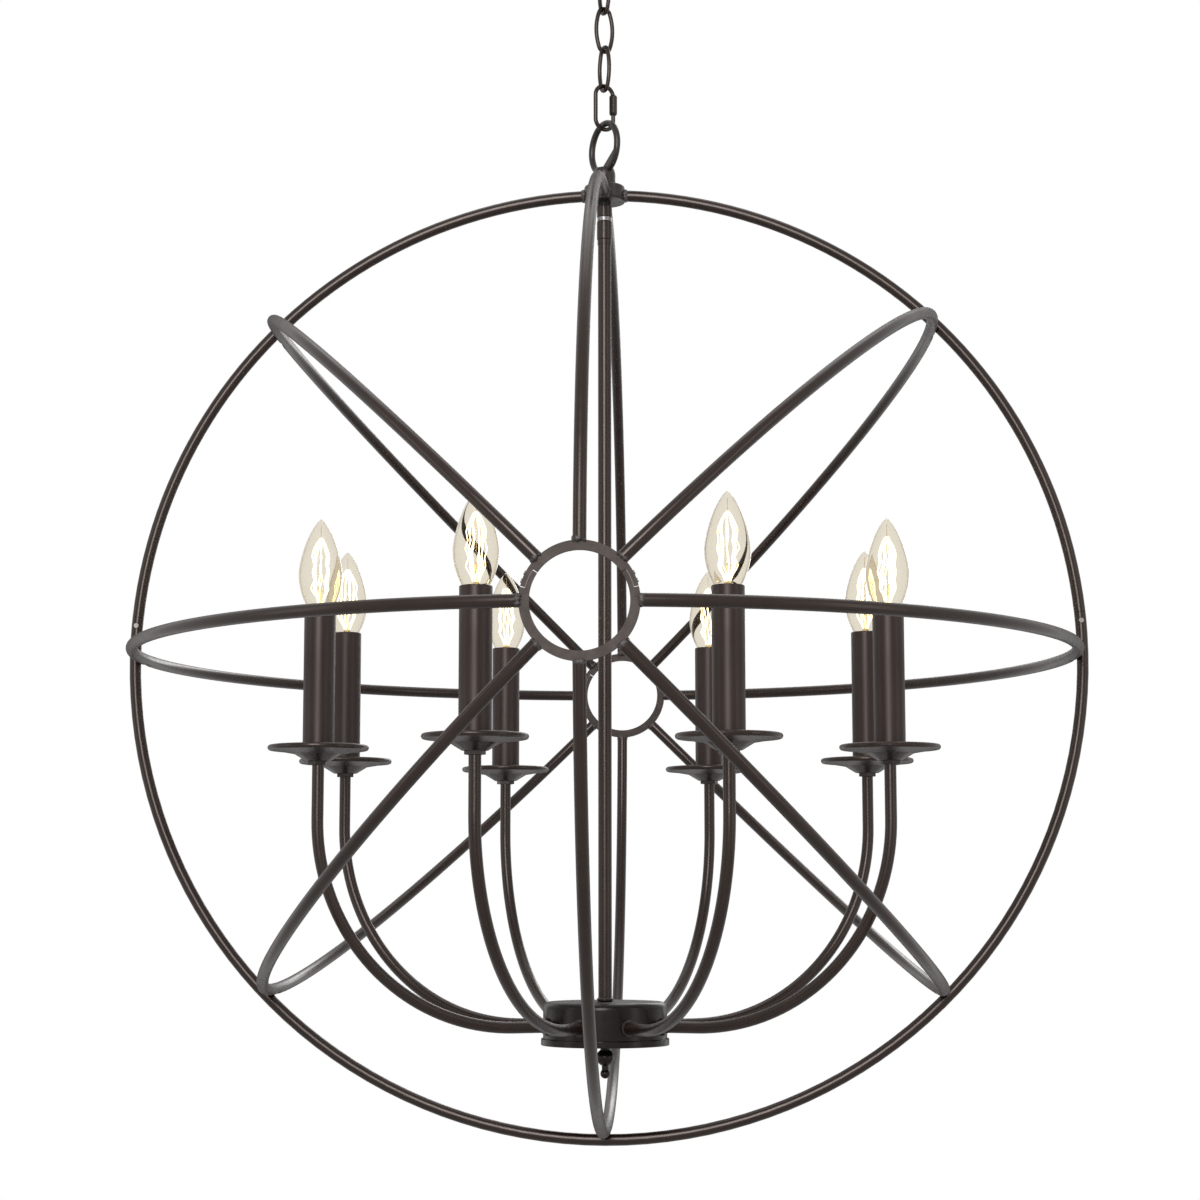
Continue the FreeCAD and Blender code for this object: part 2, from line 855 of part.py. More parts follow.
def make_base():
    outer = s.can_diameter / 2 + s.base_overhang
    inside = s.can_diameter / 2 + s.bar_play * 2
    hole = s.pipe_bore / 2 + s.thread_play
    low, high = -s.base_plate, s.base_rim
    lip = s.base_plate / 2
    body = turned(
        "hub_base",
        [(hole, low), (outer - lip, low), (outer, low + lip), (outer, high - lip),
         (outer - lip, high), (inside, high), (inside, 0), (hole, 0)],
        {1: lip, 3: lip},
    )
    keep(body, "hub_base", place(z=can_bottom))


def make_rod_collar():
    outer, high = s.rod_collar_diameter / 2, s.rod_collar_height
    hole = s.pipe_diameter / 2 + s.thread_play
    edge = high / 3
    body = turned(
        "rod_collar",
        [(hole, 0), (outer - edge, 0), (outer, edge), (outer, high - edge), (outer - edge, high),
         (hole, high)],
    )
    keep(body, "rod_collar", place(z=can_top))


def make_finial():
    """A turned knob with a stud on top that screws up into the rod."""
    ball, tip = s.finial_ball / 2, s.finial_tip / 2
    neck, waist = s.finial_neck / 2, s.finial_waist / 2
    stud = s.pipe_bore / 2 - s.thread_play
    ball_centre = -(s.finial_neck_height + root(ball * ball - neck * neck))
    ball_top = -s.finial_neck_height
    waist_top = ball_centre - root(ball * ball - waist * waist)
    tip_top = waist_top - s.finial_waist_height
    tip_centre = tip_top - root(tip * tip - waist * waist)
    flat = tip / 6
    bottom = tip_centre - root(tip * tip - flat * flat)
    body = turned(
        "finial",
        [
            (0, s.finial_stud_length),
            (stud, s.finial_stud_length),
            (stud, 0),
            (neck, 0),
            (neck, ball_top),
            (waist, waist_top),
            (waist, tip_top),
            (flat, bottom),
            (0, bottom),
        ],
        {4: -ball, 6: -tip},
    )
    keep(body, "finial", place(z=base_bottom))


make_can()
make_base()
make_rod_collar()
make_finial()

# ---------------------------------------------------------------- arms and candles


def around(radius, height, turn_more=0.0):
    """The places of the lights, evenly round the rod, each facing outward."""
    spots = []
    for light in range(LIGHTS):
        angle = float(s.candle_turn) + 360 / LIGHTS * light + turn_more
        turn = FreeCAD.Rotation(Z_AXIS, angle)
        spot = turn.multVec(FreeCAD.Vector(float(radius), 0, float(height)))
        spots.append(FreeCAD.Placement(spot, turn))
    return spots


arm_top = pan_height + s.arm_tip_rise - arm_height  # above the arm's horizontal run


def make_arms():
    """A tube that leaves the can level and bends up to its pan."""
    bend = s.arm_bend
    corners = [
        (s.arm_inner_end, 0),
        (candle_radius - bend, 0),
        (candle_radius, bend),
        (candle_radius, arm_top),
    ]
    arm = pipe_along("arm", corners, {1: bend}, s.arm_diameter, s.arm_bore)
    for light, spot in enumerate(around(0, arm_height)):
        copy_of(arm, f"arm_{light + 1}", spot)


def make_ferrules():
    outer, inner = s.ferrule_diameter / 2, s.arm_diameter / 2 + s.bar_play
    seat = s.can_diameter / 2 + s.bar_play
    length = s.ferrule_length
    edge = length / 3
    body = turned(
        "arm_ferrule",
        [(inner, 0), (outer, 0), (outer, length - edge), (outer - edge, length), (inner, length)],
    )
    spots = around(seat, arm_height)
    tip = FreeCAD.Placement(FreeCAD.Vector(), FreeCAD.Rotation(Y_AXIS, 90))
    copies(body, "arm_ferrules", [spot.multiply(tip) for spot in spots])


def make_arm_nuts():
    """One nut on each arm inside the can, and one under each pan."""
    tip = FreeCAD.Placement(FreeCAD.Vector(), FreeCAD.Rotation(Y_AXIS, 90))
    inside = s.can_diameter / 2 - s.can_wall - s.nut_height - s.nut_clearance
    in_can = [spot.multiply(tip) for spot in around(inside, arm_height)]
    under = pan_height - s.pan_foot_depth - s.nut_height
    copies(hex_nut, "arm_nuts", in_can + around(candle_radius, under))


def make_pans():
    """A drip pan: rolled rim, shallow flare, dish and a flat foot with the arm's hole."""
    wall, roll = s.pan_wall, s.pan_roll / 2
    rim = s.pan_diameter / 2 - roll
    dish, foot = s.pan_dish_diameter / 2, s.pan_foot_diameter / 2
    hole = s.arm_diameter / 2 + s.bar_play
    low, dish_low = -s.pan_foot_depth, -s.pan_dish_depth
    inner = rim - roll + wall / 2
    body = turned(
        "pan",
        [
            (hole, low),
            (foot, low),
            (dish, dish_low - wall),
            (inner, -roll),
            (rim + roll, 0),
            (rim, roll),
            (inner, wall - roll),
            (dish, dish_low),
            (foot, low + wall),
            (hole, low + wall),
        ],
        {3: roll * 1.15, 4: roll},
    )
    copies(body, "drip_pans", around(candle_radius, pan_height))


def pan_surface(radius):
    """The height of the pan's upper side above the rim's middle, on the slope of its dish."""
    dish, foot = s.pan_dish_diameter / 2, s.pan_foot_diameter / 2
    rise = s.pan_foot_depth - s.pan_dish_depth - s.pan_wall
    return s.pan_wall - s.pan_foot_depth + (radius - foot) / (dish - foot) * rise


sleeve_foot = pan_height + pan_surface(s.sleeve_diameter / 2) + s.seat_gap


def make_sleeves():
    outer, inner = s.sleeve_diameter / 2, s.sleeve_bore / 2
    length = sleeve_top - sleeve_foot
    edge = (s.sleeve_diameter - s.sleeve_bore) / 4
    body = turned(
        "candle_sleeve",
        [(inner, 0), (outer, 0), (outer, length - edge), (outer - edge, length), (inner, length)],
    )
    copies(body, "candle_sleeves", around(candle_radius, sleeve_foot))


socket_top = sleeve_top - s.socket_below_sleeve


def make_sockets():
    """A lamp socket on a flat metal leg, whose foot screws on the arm's end."""
    outer, bore = s.socket_diameter / 2, s.socket_bore / 2
    low = -s.socket_length
    floor = low + s.socket_foot_height
    edge = s.socket_foot_height / 2
    cup = turned(
        "socket_cup",
        [(0, low), (outer - edge, low), (outer, low + edge), (outer, 0), (bore, 0), (bore, floor),
         (0, floor)],
    )
    foot_height = pan_height + s.arm_tip_rise - socket_top
    leg = new_body("socket_leg")
    sketch = new_sketch(leg, "socket_leg_outline", "XY_Plane", foot_height)
    half = s.socket_leg_width / 2
    far = outer - edge
    near = far - s.socket_leg_thickness
    add_path(sketch, [(near, -half), (far, -half), (far, half), (near, half)])
    extrude(leg, sketch, low + edge - foot_height)
    hole = s.arm_diameter / 2 + s.thread_play
    foot_low = foot_height - s.socket_foot_height * 2
    foot = turned(
        "socket_foot",
        [(hole, foot_low), (far, foot_low), (far, foot_height + s.socket_foot_height / 4),
         (hole, foot_height + s.socket_foot_height / 4)],
    )
    joined = doc.addObject("Part::MultiFuse", "lamp_socket")
    joined.Shapes = [cup, leg, foot]
    joined.Refine = True
    copies(joined, "lamp_sockets", around(candle_radius, socket_top))


def make_bulbs():
    """A torpedo bulb with a pointed tip and its screw cap, the sleeve's top at height 0."""
    belly, neck = s.bulb_diameter / 2, s.bulb_neck_diameter / 2
    cap = s.bulb_cap_diameter / 2
    tip = s.bulb_tip / 2
    neck_low = -s.bulb_neck_depth
    cap_low = neck_low - s.bulb_cap_length
    drop = s.bulb_belly - neck_low
    rise = s.bulb_height - tip - s.bulb_belly
    # radii of the arcs that stand upright at the belly and end at the neck and the tip
    low_arc = (drop * drop + (belly - neck) * (belly - neck)) / (belly - neck) / 2
    high_arc = (rise * rise + (belly - tip) * (belly - tip)) / (belly - tip) / 2
    contact = cap / 2
    flat = tip / 6
    top = s.bulb_height - tip + root(tip * tip - flat * flat)
    bulb = turned(
        "bulb",
        [
            (0, cap_low),
            (contact, cap_low),
            (cap, cap_low + contact),
            (cap, neck_low),
            (neck, neck_low),
            (belly, s.bulb_belly),
            (tip, s.bulb_height - tip),
            (flat, top),
            (0, top),
        ],
        {4: low_arc, 5: high_arc, 6: tip},
    )
    glass = s.bulb_glass
    hollow = new_sketch(bulb, "bulb_hollow", "XZ_Plane")
    add_path(
        hollow,
        [
            (0, neck_low + glass),
            (neck - glass, neck_low + glass),
            (belly - glass, s.bulb_belly),
            (tip, s.bulb_height - tip - glass * 4),
            (0, s.bulb_height - tip - glass * 4),
        ],
        {1: low_arc, 2: high_arc},
    )
    revolve(bulb, hollow, kind="Groove")
    for light, spot in enumerate(around(candle_radius, sleeve_top)):
        copy_of(bulb, f"bulb_{light + 1}", spot)


make_arms()
make_ferrules()
make_arm_nuts()
make_pans()
make_sleeves()
make_sockets()
make_bulbs()

# ---------------------------------------------------------------- cage


def bar_angle(radius, reach):
    """The angle, in degrees, at which a bar of that radius is reach away from its pole."""
    return math.degrees(math.asin(float(reach) / float(radius)))


pole_reach = s.pole_ring_diameter / 2 + s.weld_gap
pole_angle = bar_angle(arc_radius, pole_reach)
hub_reach = s.hub_diameter / 2 + s.weld_gap
hub_angle = bar_angle(ring_radius, hub_reach)
joint_angle = bar_angle(ring_radius, s.ring_joint_height)
pole_distance = arc_radius * cosine(pole_angle)


def bent_bar(name, radius, sweep, diameter=None):
    """A round bar bent about Y, its middle on +X."""
    body = new_body(name)
    sketch = new_sketch(body, f"{name}_section", "XY_Plane")
    add_circle(sketch, radius, 0, s.bar_diameter if diameter is None else diameter)
    revolve(body, sketch, "V_Axis", sweep, midplane=True)
    return body


def meridian(name, radius, sweep):
    """A round bar bent about Z, its middle on +X."""
    body = new_body(name)
    sketch = new_sketch(body, f"{name}_section", "XZ_Plane")
    add_circle(sketch, radius, 0, s.bar_diameter)
    revolve(body, sketch, "V_Axis", sweep, midplane=True)
    return body


def full_meridian(name):
    """A meridian with the saddle in its back that seats it on the outer ring."""
    body = meridian(name, arc_radius, 180 - 2 * pole_angle)
    saddle = new_sketch(body, f"{name}_saddle", "XY_Plane")
    add_circle(saddle, ring_radius, 0, s.bar_diameter + s.bar_play * 2)
    revolve(body, saddle, "V_Axis", 30, "Groove", midplane=True)
    return body


def make_arcs():
    arc = full_meridian("cage_arc")
    for label, angle in (
        ("side_arc_right", 0),
        ("diagonal_upper_right", 45),
        ("diagonal_upper_left", 135),
        ("side_arc_left", 180),
        ("diagonal_lower_left", 225),
        ("bottom_arc", 270),
        ("diagonal_lower_right", 315),
    ):
        copy_of(arc, label, place(z=orb_centre, axis=Y_AXIS, angle=-angle))
    make_top_arcs()


def make_top_arcs():
    """The two halves of the top bar. They meet the drum level with the ring's bars, so they
    are bent about a centre a little above the orb's."""
    hub_end = root(ring_radius * ring_radius - hub_reach * hub_reach)
    lift = (ring_radius * ring_radius - arc_radius * arc_radius) / (hub_end - pole_reach) / 2
    rise = hub_end - lift
    radius = root(hub_reach * hub_reach + rise * rise)
    hub_lean = bar_angle(radius, hub_reach)
    pole_lean = bar_angle(radius, pole_reach - lift)
    half_arc = meridian("top_arc", radius, 90 - pole_lean - hub_lean)
    lean = (90 + hub_lean - pole_lean) / 2
    up = FreeCAD.Rotation(Y_AXIS, -90)
    centre = FreeCAD.Vector(0, 0, float(orb_centre + lift))
    for label, side in (("top_arc_front", -1), ("top_arc_back", 1)):
        turn = FreeCAD.Rotation(X_AXIS, -side * lean).multiply(up)
        copy_of(half_arc, label, FreeCAD.Placement(centre, turn))


def ring_point(angle, y=0.0):
    radius = float(ring_radius)
    height = float(orb_centre) + radius * math.sin(math.radians(angle))
    return FreeCAD.Vector(radius * math.cos(math.radians(angle)), float(y), height)


screw_angle = joint_angle - bar_angle(ring_radius, s.ring_screw_offset)


def ring_screw_tools():
    """Holes for the two small screws that pin the ring's joints, with room for their heads."""
    tools = []
    half = float(s.bar_diameter) / 2
    for angle in (screw_angle, 180 - screw_angle):
        start = ring_point(angle, -half - 1)
        hole = float(s.ring_screw_diameter) / 2 + float(s.bar_play)
        tools.append(Part.makeCylinder(hole, half * 2 + 2, start, Y_AXIS))
        head = float(s.ring_screw_head) / 2 + float(s.bar_play)
        depth = 1 + float(s.ring_screw_head_height)
        tools.append(Part.makeCylinder(head, depth, start, Y_AXIS))
    return tools


def make_ring():
    """The outer ring: an upper half in two bars welded to the hub, with spigots at their
    lower ends, and a lower half with a socket in each upper end."""
    gap_angle = bar_angle(ring_radius, s.ring_joint_gap)
    spigot_angle = bar_angle(ring_radius, s.spigot_length)
    low = joint_angle + gap_angle
    high = 90 - hub_angle
    middle = (low + high) / 2
    for label, side in (("ring_upper_right", 1), ("ring_upper_left", -1)):
        bar_body = bent_bar(f"{label}_bar", ring_radius, high - low)
        pin = bent_bar(
            f"{label}_spigot", ring_radius, spigot_angle * 2, s.spigot_diameter
        )
        turn = middle if side == 1 else 180 - middle
        foot = low if side == 1 else 180 - low
        bar_body.Placement = place(z=orb_centre, axis=Y_AXIS, angle=-turn)
        pin.Placement = place(z=orb_centre, axis=Y_AXIS, angle=-foot)
        joined = doc.addObject("Part::Fuse", f"{label}_joined")
        joined.Base = bar_body
        joined.Tool = pin
        joined.Refine = True
        keep(cut_away(joined, label, ring_screw_tools()), label)
    lower = bent_bar("ring_lower_bar", ring_radius, 180 + 2 * joint_angle)
    lower.Placement = place(z=orb_centre, axis=Y_AXIS, angle=90)
    sockets = []
    for end in (joint_angle, 180 - joint_angle):
        bore = s.spigot_diameter + s.spigot_play * 2
        depth = (spigot_angle + gap_angle) * 2
        socket = bent_bar(f"ring_socket_{round(end)}", ring_radius, depth, bore)
        socket.Placement = place(z=orb_centre, axis=Y_AXIS, angle=-end)
        doc.recompute()
        sockets.append(socket.Shape.copy())
    keep(cut_away(lower, "ring_lower", sockets + ring_screw_tools()), "ring_lower")


def polar(radius, angle):
    return (as_size(radius) * cosine(angle), as_size(radius) * sine(angle))


lap_screw_angles = [s.lap_low + (s.lap_high - s.lap_low) * share for share in (0.3, 0.7)]


def lap_screw_places():
    """The four radial screws of one pole ring, from outside its rim, seen from the front."""
    rim = float(s.pole_ring_diameter) / 2
    spots = []
    for angle in lap_screw_angles:
        for turn in (float(angle), 180 - float(angle)):
            spin = FreeCAD.Rotation(Y_AXIS, -turn)
            spots.append((spin.multVec(FreeCAD.Vector(rim, 0, 0)), spin))
    return spots


def lap_screw_tools(y):
    tools = []
    for spot, spin in lap_screw_places():
        inward = spin.multVec(-X_AXIS)
        start = spot + FreeCAD.Vector(0, float(y), 0) - inward * 2
        hole = float(s.lap_screw_diameter) / 2 + float(s.bar_play)
        shape = Part.makeCylinder(hole, float(s.pole_ring_width) + 4, start, inward)
        shape.translate(FreeCAD.Vector(0, 0, float(orb_centre)))
        tools.append(shape)
    return tools


def half_ring(name, upper):
    """Half of a flat pole ring. The upper half ends in the outer tongues of the two laps,
    the lower half in the inner ones."""
    outer = s.pole_ring_diameter / 2
    inner = outer - s.pole_ring_width
    gap = s.lap_end_gap / outer * (180 / math.pi)
    if upper:
        split = outer - s.lap_tongue
        near, far = s.lap_low + gap, s.lap_high + gap
        ends = [(outer, near), (split, near), (split, far), (inner, far)]
    else:
        split = inner + s.lap_tongue
        near, far = s.lap_high, s.lap_low
        ends = [(inner, near), (split, near), (split, far), (outer, far)]
    right = [polar(radius, angle) for radius, angle in ends]
    left = [polar(radius, Size(180) - angle) for radius, angle in reversed(ends)]
    body = new_body(name)
    sketch = new_sketch(body, f"{name}_outline", "XZ_Plane")
    add_ring_path(sketch, right + left, ends, upper)
    extrude(body, sketch, s.pole_ring_thickness, midplane=True)
    return body


def turning(start, end):
    """Positive where the way from start to end runs counter-clockwise about the origin."""
    return start.x * end.y - start.y * end.x


def add_ring_path(sketch, corners, ends, upper):
    """The half ring's outline: short radial lines at the laps and arcs about the centre."""
    points = [FreeCAD.Vector(float(x), float(y), 0) for x, y in corners]
    angles = [float(angle) for _, angle in ends]
    angles += [180 - angle for angle in reversed(angles)]
    sizes = [radius for radius, _ in ends]
    sizes += list(reversed(sizes))
    count = len(points)
    links = []
    for side in range(count):
        following = (side + 1) % count
        if abs(float(sizes[side]) - float(sizes[following])) > 1e-6:
            index = sketch.addGeometry(Part.LineSegment(points[side], points[following]), False)
            links.append((index, 1, 2))
            continue
        middle = (angles[side] + angles[following]) / 2
        if abs(angles[side] - angles[following]) > 90 and not upper:
            middle += 180
        radius = float(sizes[side])
        crown = FreeCAD.Vector(
            radius * math.cos(math.radians(middle)), radius * math.sin(math.radians(middle)), 0
        )
        forward = turning(points[side], crown) > 0
        arc = arc_about(FreeCAD.Vector(), points[side], points[following], forward)
        index = sketch.addGeometry(arc, False)
        links.append((index, 1, 2) if forward else (index, 2, 1))
        sketch.addConstraint(Sketcher.Constraint("Coincident", index, 3, -1, 1))
    for side in range(count):
        index, start_end, far_end = links[side]
        following, following_start, _ = links[(side + 1) % count]
        sketch.addConstraint(
            Sketcher.Constraint("Coincident", index, far_end, following, following_start)
        )
    for side in range(count):
        index, start_end, _ = links[side]
        across, up = corners[side]
        number = sketch.addConstraint(
            Sketcher.Constraint("DistanceX", -1, 1, index, start_end, float(across))
        )
        sketch.setExpression(f"Constraints[{number}]", across.text)
        on_arc_from_before = abs(float(sizes[side - 1]) - float(sizes[side])) < 1e-6
        if on_arc_from_before:
            continue  # the arc before it already holds this corner at its own radius
        number = sketch.addConstraint(
            Sketcher.Constraint("DistanceY", -1, 1, index, start_end, float(up))
        )
        sketch.setExpression(f"Constraints[{number}]", up.text)


def make_pole_rings():
    for label, upper in (("upper", True), ("lower", False)):
        ring = half_ring(f"half_ring_{label}", upper)
        for end, side in (("front", -1), ("back", 1)):
            name = f"{end}_ring_{label}"
            blank = copy_of(ring, f"{name}_blank", place(y=pole_distance * side, z=orb_centre))
            parts.pop(f"{name}_blank")
            tools = lap_screw_tools(float(pole_distance) * side)
            keep(cut_away(blank, name, tools), name)


def make_cage_screws():
    """The screws of the eight laps and of the outer ring's two joints."""
    head, shank = s.lap_screw_head / 2, s.lap_screw_diameter / 2
    height = s.lap_screw_head_height
    crown = height / 3
    lap = turned(
        "lap_screw",
        [(0, -s.pole_ring_width), (shank, -s.pole_ring_width), (shank, 0), (head, 0),
         (head, height - crown), (head - crown, height), (0, height)],
    )
    head, shank = s.ring_screw_head / 2, s.ring_screw_diameter / 2
    height = s.ring_screw_head_height
    length = s.bar_diameter - height
    pin = turned(
        "ring_screw",
        [(0, -length), (shank, -length), (shank, 0), (head, 0), (head, height - crown),
         (head - crown, height), (0, height)],
    )
    doc.recompute()
    solids = []
    outward = FreeCAD.Rotation(Y_AXIS, 90)
    for side in (-1, 1):
        middle = FreeCAD.Vector(0, float(pole_distance) * side, float(orb_centre))
        for spot, spin in lap_screw_places():
            out = spin.multVec(X_AXIS) * float(s.seat_gap / 3)
            solids.append(moved(lap, FreeCAD.Placement(middle + spot + out, spin.multiply(outward))))
    forward = FreeCAD.Rotation(X_AXIS, 90)
    sink = -float(s.bar_diameter) / 2 + float(s.ring_screw_head_height)
    for angle in (screw_angle, 180 - screw_angle):
        solids.append(moved(pin, FreeCAD.Placement(ring_point(angle, sink), forward)))
    group = doc.addObject("Part::Feature", "cage_screws")
    group.Shape = Part.makeCompound(solids)
    keep(group, "cage_screws")


make_ring()
make_pole_rings()
make_arcs()
make_cage_screws()

# ---------------------------------------------------------------- check and write

doc.recompute()
failed = [item.Name for item in doc.Objects if {"Invalid", "Error"} & set(item.State)]
if failed:
    raise RuntimeError(f"these have failed: {failed}")
for label, feature in parts.items():
    shape = feature.Shape
    if shape.isNull() or not shape.isValid() or not shape.Solids:
        raise RuntimeError(f"{label} has no valid shape")

os.makedirs("parts", exist_ok=True)
for label, feature in parts.items():
    feature.Shape.exportStep(f"parts/{label}.step")
    print(label, len(feature.Shape.Solids), round(feature.Shape.Volume, 1))
print(len(parts), "sub-parts; orb centre", round(float(orb_centre), 2))
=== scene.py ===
import json
import math

import bpy
from mathutils import Matrix, Vector, noise


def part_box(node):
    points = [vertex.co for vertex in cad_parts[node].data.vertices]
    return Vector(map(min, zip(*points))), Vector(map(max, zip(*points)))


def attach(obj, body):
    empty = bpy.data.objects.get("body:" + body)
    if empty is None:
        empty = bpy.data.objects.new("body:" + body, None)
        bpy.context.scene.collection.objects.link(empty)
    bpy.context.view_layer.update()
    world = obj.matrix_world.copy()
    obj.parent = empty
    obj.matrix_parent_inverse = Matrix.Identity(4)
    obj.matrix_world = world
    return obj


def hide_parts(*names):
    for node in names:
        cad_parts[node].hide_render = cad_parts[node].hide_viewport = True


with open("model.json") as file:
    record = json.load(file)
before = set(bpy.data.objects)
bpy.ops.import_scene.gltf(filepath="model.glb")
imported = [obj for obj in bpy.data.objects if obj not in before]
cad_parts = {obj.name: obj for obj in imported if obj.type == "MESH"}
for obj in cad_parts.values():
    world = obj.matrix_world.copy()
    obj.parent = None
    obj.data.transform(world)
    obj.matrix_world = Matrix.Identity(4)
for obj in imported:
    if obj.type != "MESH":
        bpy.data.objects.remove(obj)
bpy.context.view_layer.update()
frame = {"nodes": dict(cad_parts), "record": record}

# The dressed orb chandelier. Metres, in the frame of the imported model: the origin is on the
# ceiling, +Z is up, and the front pole ring of the orb faces -Y.

MM = 0.001

# ------------------------------------------------------------------ places, from the frame

ring_low, ring_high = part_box("ring_lower")
ORB_RADIUS = (ring_high.x - ring_low.x) / 2
ORB = Vector((0, 0, ring_low.z + ORB_RADIUS))
BAR_RADIUS = (ring_high.y - ring_low.y) / 2
RING_RADIUS = ORB_RADIUS - BAR_RADIUS
POLE_RING_RADIUS = (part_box("front_ring_lower")[1].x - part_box("front_ring_lower")[0].x) / 2
POLE_RING_WIDTH = 7 * MM
POLE_Y = abs(sum(corner.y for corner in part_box("front_ring_lower"))) / 2
HUB_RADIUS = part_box("top_hub")[1].x
BULBS = [f"bulb_{number}" for number in range(1, 9)]


# ------------------------------------------------------------------ materials


def new_material(name):
    material = bpy.data.materials.new(name)
    material.use_nodes = True
    tree = material.node_tree
    return material, tree, tree.nodes["Principled BSDF"]


def link(tree, source, socket, target, name):
    tree.links.new(source.outputs[socket], target.inputs[name])


def noise_node(tree, scale, detail=4.0, roughness=0.6):
    place = tree.nodes.new("ShaderNodeTexCoord")
    node = tree.nodes.new("ShaderNodeTexNoise")
    node.inputs["Scale"].default_value = scale
    node.inputs["Detail"].default_value = detail
    node.inputs["Roughness"].default_value = roughness
    link(tree, place, "Object", node, "Vector")
    return node


def ramp_node(tree, source, socket, stops):
    ramp = tree.nodes.new("ShaderNodeValToRGB")
    first, last = ramp.color_ramp.elements[0], ramp.color_ramp.elements[1]
    first.position, first.color = stops[0][0], (*stops[0][1], 1)
    last.position, last.color = stops[-1][0], (*stops[-1][1], 1)
    for position, color in stops[1:-1]:
        ramp.color_ramp.elements.new(position).color = (*color, 1)
    link(tree, source, socket, ramp, "Fac")
    return ramp


def range_node(tree, source, socket, low, high):
    node = tree.nodes.new("ShaderNodeMapRange")
    node.inputs["From Min"].default_value = 0.3
    node.inputs["From Max"].default_value = 0.7
    node.inputs["To Min"].default_value = low
    node.inputs["To Max"].default_value = high
    link(tree, source, socket, node, "Value")
    return node


EDGE_FROM, EDGE_TO = 0.68, 0.94


def dull_edge(tree, rough, amount):
    """Adds to a roughness towards the silhouette, where worn satin paint has no mirror gloss."""
    facing = tree.nodes.new("ShaderNodeLayerWeight")
    edge = tree.nodes.new("ShaderNodeMapRange")
    edge.inputs["From Min"].default_value = EDGE_FROM
    edge.inputs["From Max"].default_value = EDGE_TO
    edge.inputs["To Max"].default_value = amount
    link(tree, facing, "Facing", edge, "Value")
    total = tree.nodes.new("ShaderNodeMath")
    total.operation = "ADD"
    tree.links.new(rough.outputs["Result"], total.inputs[0])
    tree.links.new(edge.outputs["Result"], total.inputs[1])
    return total


def add_bump(tree, shader, source, socket, strength, distance):
    bump = tree.nodes.new("ShaderNodeBump")
    bump.inputs["Strength"].default_value = strength
    bump.inputs["Distance"].default_value = distance
    link(tree, source, socket, bump, "Height")
    link(tree, bump, "Normal", shader, "Normal")


def bronze_paint(
    name, dark, light, low_rough=0.24, high_rough=0.3, grain=0.03, shine=0.37
):
    """Satin oil-rubbed bronze paint: a soft brown mottle with a fine sprayed grain. Roughness
    wanders between the two values, and shine is the strength of the reflection."""
    material, tree, shader = new_material(name)
    mottle = noise_node(tree, 34.0)
    color = ramp_node(tree, mottle, "Fac", [(0.32, dark), (0.7, light)])
    link(tree, color, "Color", shader, "Base Color")
    rough = range_node(tree, noise_node(tree, 120.0), "Fac", low_rough, high_rough)
    link(tree, dull_edge(tree, rough, 0.4), "Value", shader, "Roughness")
    add_bump(tree, shader, noise_node(tree, 900.0, 2.0), "Fac", grain, 0.2 * MM)
    shader.inputs["Specular IOR Level"].default_value = shine
    shader.inputs["Specular Tint"].default_value = (1.0, 0.87, 0.82, 1)
    return material


def plated(name, color, roughness, scale=260.0):
    """Bright plated metal with a faint grain."""
    material, tree, shader = new_material(name)
    shader.inputs["Metallic"].default_value = 1.0
    darker = tuple(value * 0.82 for value in color)
    tone = ramp_node(tree, noise_node(tree, scale), "Fac", [(0.3, darker), (0.7, color)])
    link(tree, tone, "Color", shader, "Base Color")
    rough = range_node(tree, noise_node(tree, scale * 3), "Fac", roughness, roughness * 1.5)
    link(tree, rough, "Result", shader, "Roughness")
    add_bump(tree, shader, noise_node(tree, scale * 4, 2.0), "Fac", 0.12, 0.1 * MM)
    return material


def threaded(name, color, roughness, pitch):
    """Plated pipe with a cut thread that shows as fine rings: a bump, and painted shade that
    darkens each groove.
    """
    material, tree, shader = new_material(name)
    shader.inputs["Metallic"].default_value = 1.0
    place = tree.nodes.new("ShaderNodeTexCoord")
    wave = tree.nodes.new("ShaderNodeTexWave")
    wave.bands_direction = "Z"
    wave.inputs["Scale"].default_value = 0.314 / pitch
    link(tree, place, "Object", wave, "Vector")
    # Painted shade: where the wave and so the bump is low, in each thread groove, the plating's
    # colour drops to 0.6.
    darker = tuple(value * 0.6 for value in color)
    tone = ramp_node(tree, wave, "Fac", [(0.1, darker), (0.8, color)])
    link(tree, tone, "Color", shader, "Base Color")
    rough = range_node(tree, noise_node(tree, 500.0), "Fac", roughness, roughness * 1.6)
    link(tree, rough, "Result", shader, "Roughness")
    add_bump(tree, shader, wave, "Fac", 0.5, 0.4 * MM)
    return material


def sleeve_paint():
    """The candle sleeves' paint, with a faint lengthwise streak as on drawn tube."""
    material, tree, shader = new_material("candle_sleeve_paint")
    place = tree.nodes.new("ShaderNodeTexCoord")
    stretch = tree.nodes.new("ShaderNodeMapping")
    stretch.inputs["Scale"].default_value = (1.0, 1.0, 0.06)
    streak = tree.nodes.new("ShaderNodeTexNoise")
    streak.inputs["Scale"].default_value = 260.0
    streak.inputs["Detail"].default_value = 3.0
    link(tree, place, "Object", stretch, "Vector")
    link(tree, stretch, "Vector", streak, "Vector")
    tone = ramp_node(
        tree, streak, "Fac", [(0.3, (0.0080, 0.0042, 0.0030)), (0.7, (0.0130, 0.0076, 0.0058))]
    )
    link(tree, tone, "Color", shader, "Base Color")
    rough = range_node(tree, streak, "Fac", 0.36, 0.42)
    link(tree, dull_edge(tree, rough, 0.3), "Value", shader, "Roughness")
    add_bump(tree, shader, noise_node(tree, 1100.0, 2.0), "Fac", 0.04, 0.15 * MM)
    shader.inputs["Specular IOR Level"].default_value = 0.34
    shader.inputs["Specular Tint"].default_value = (1.0, 0.86, 0.82, 1)
    return material


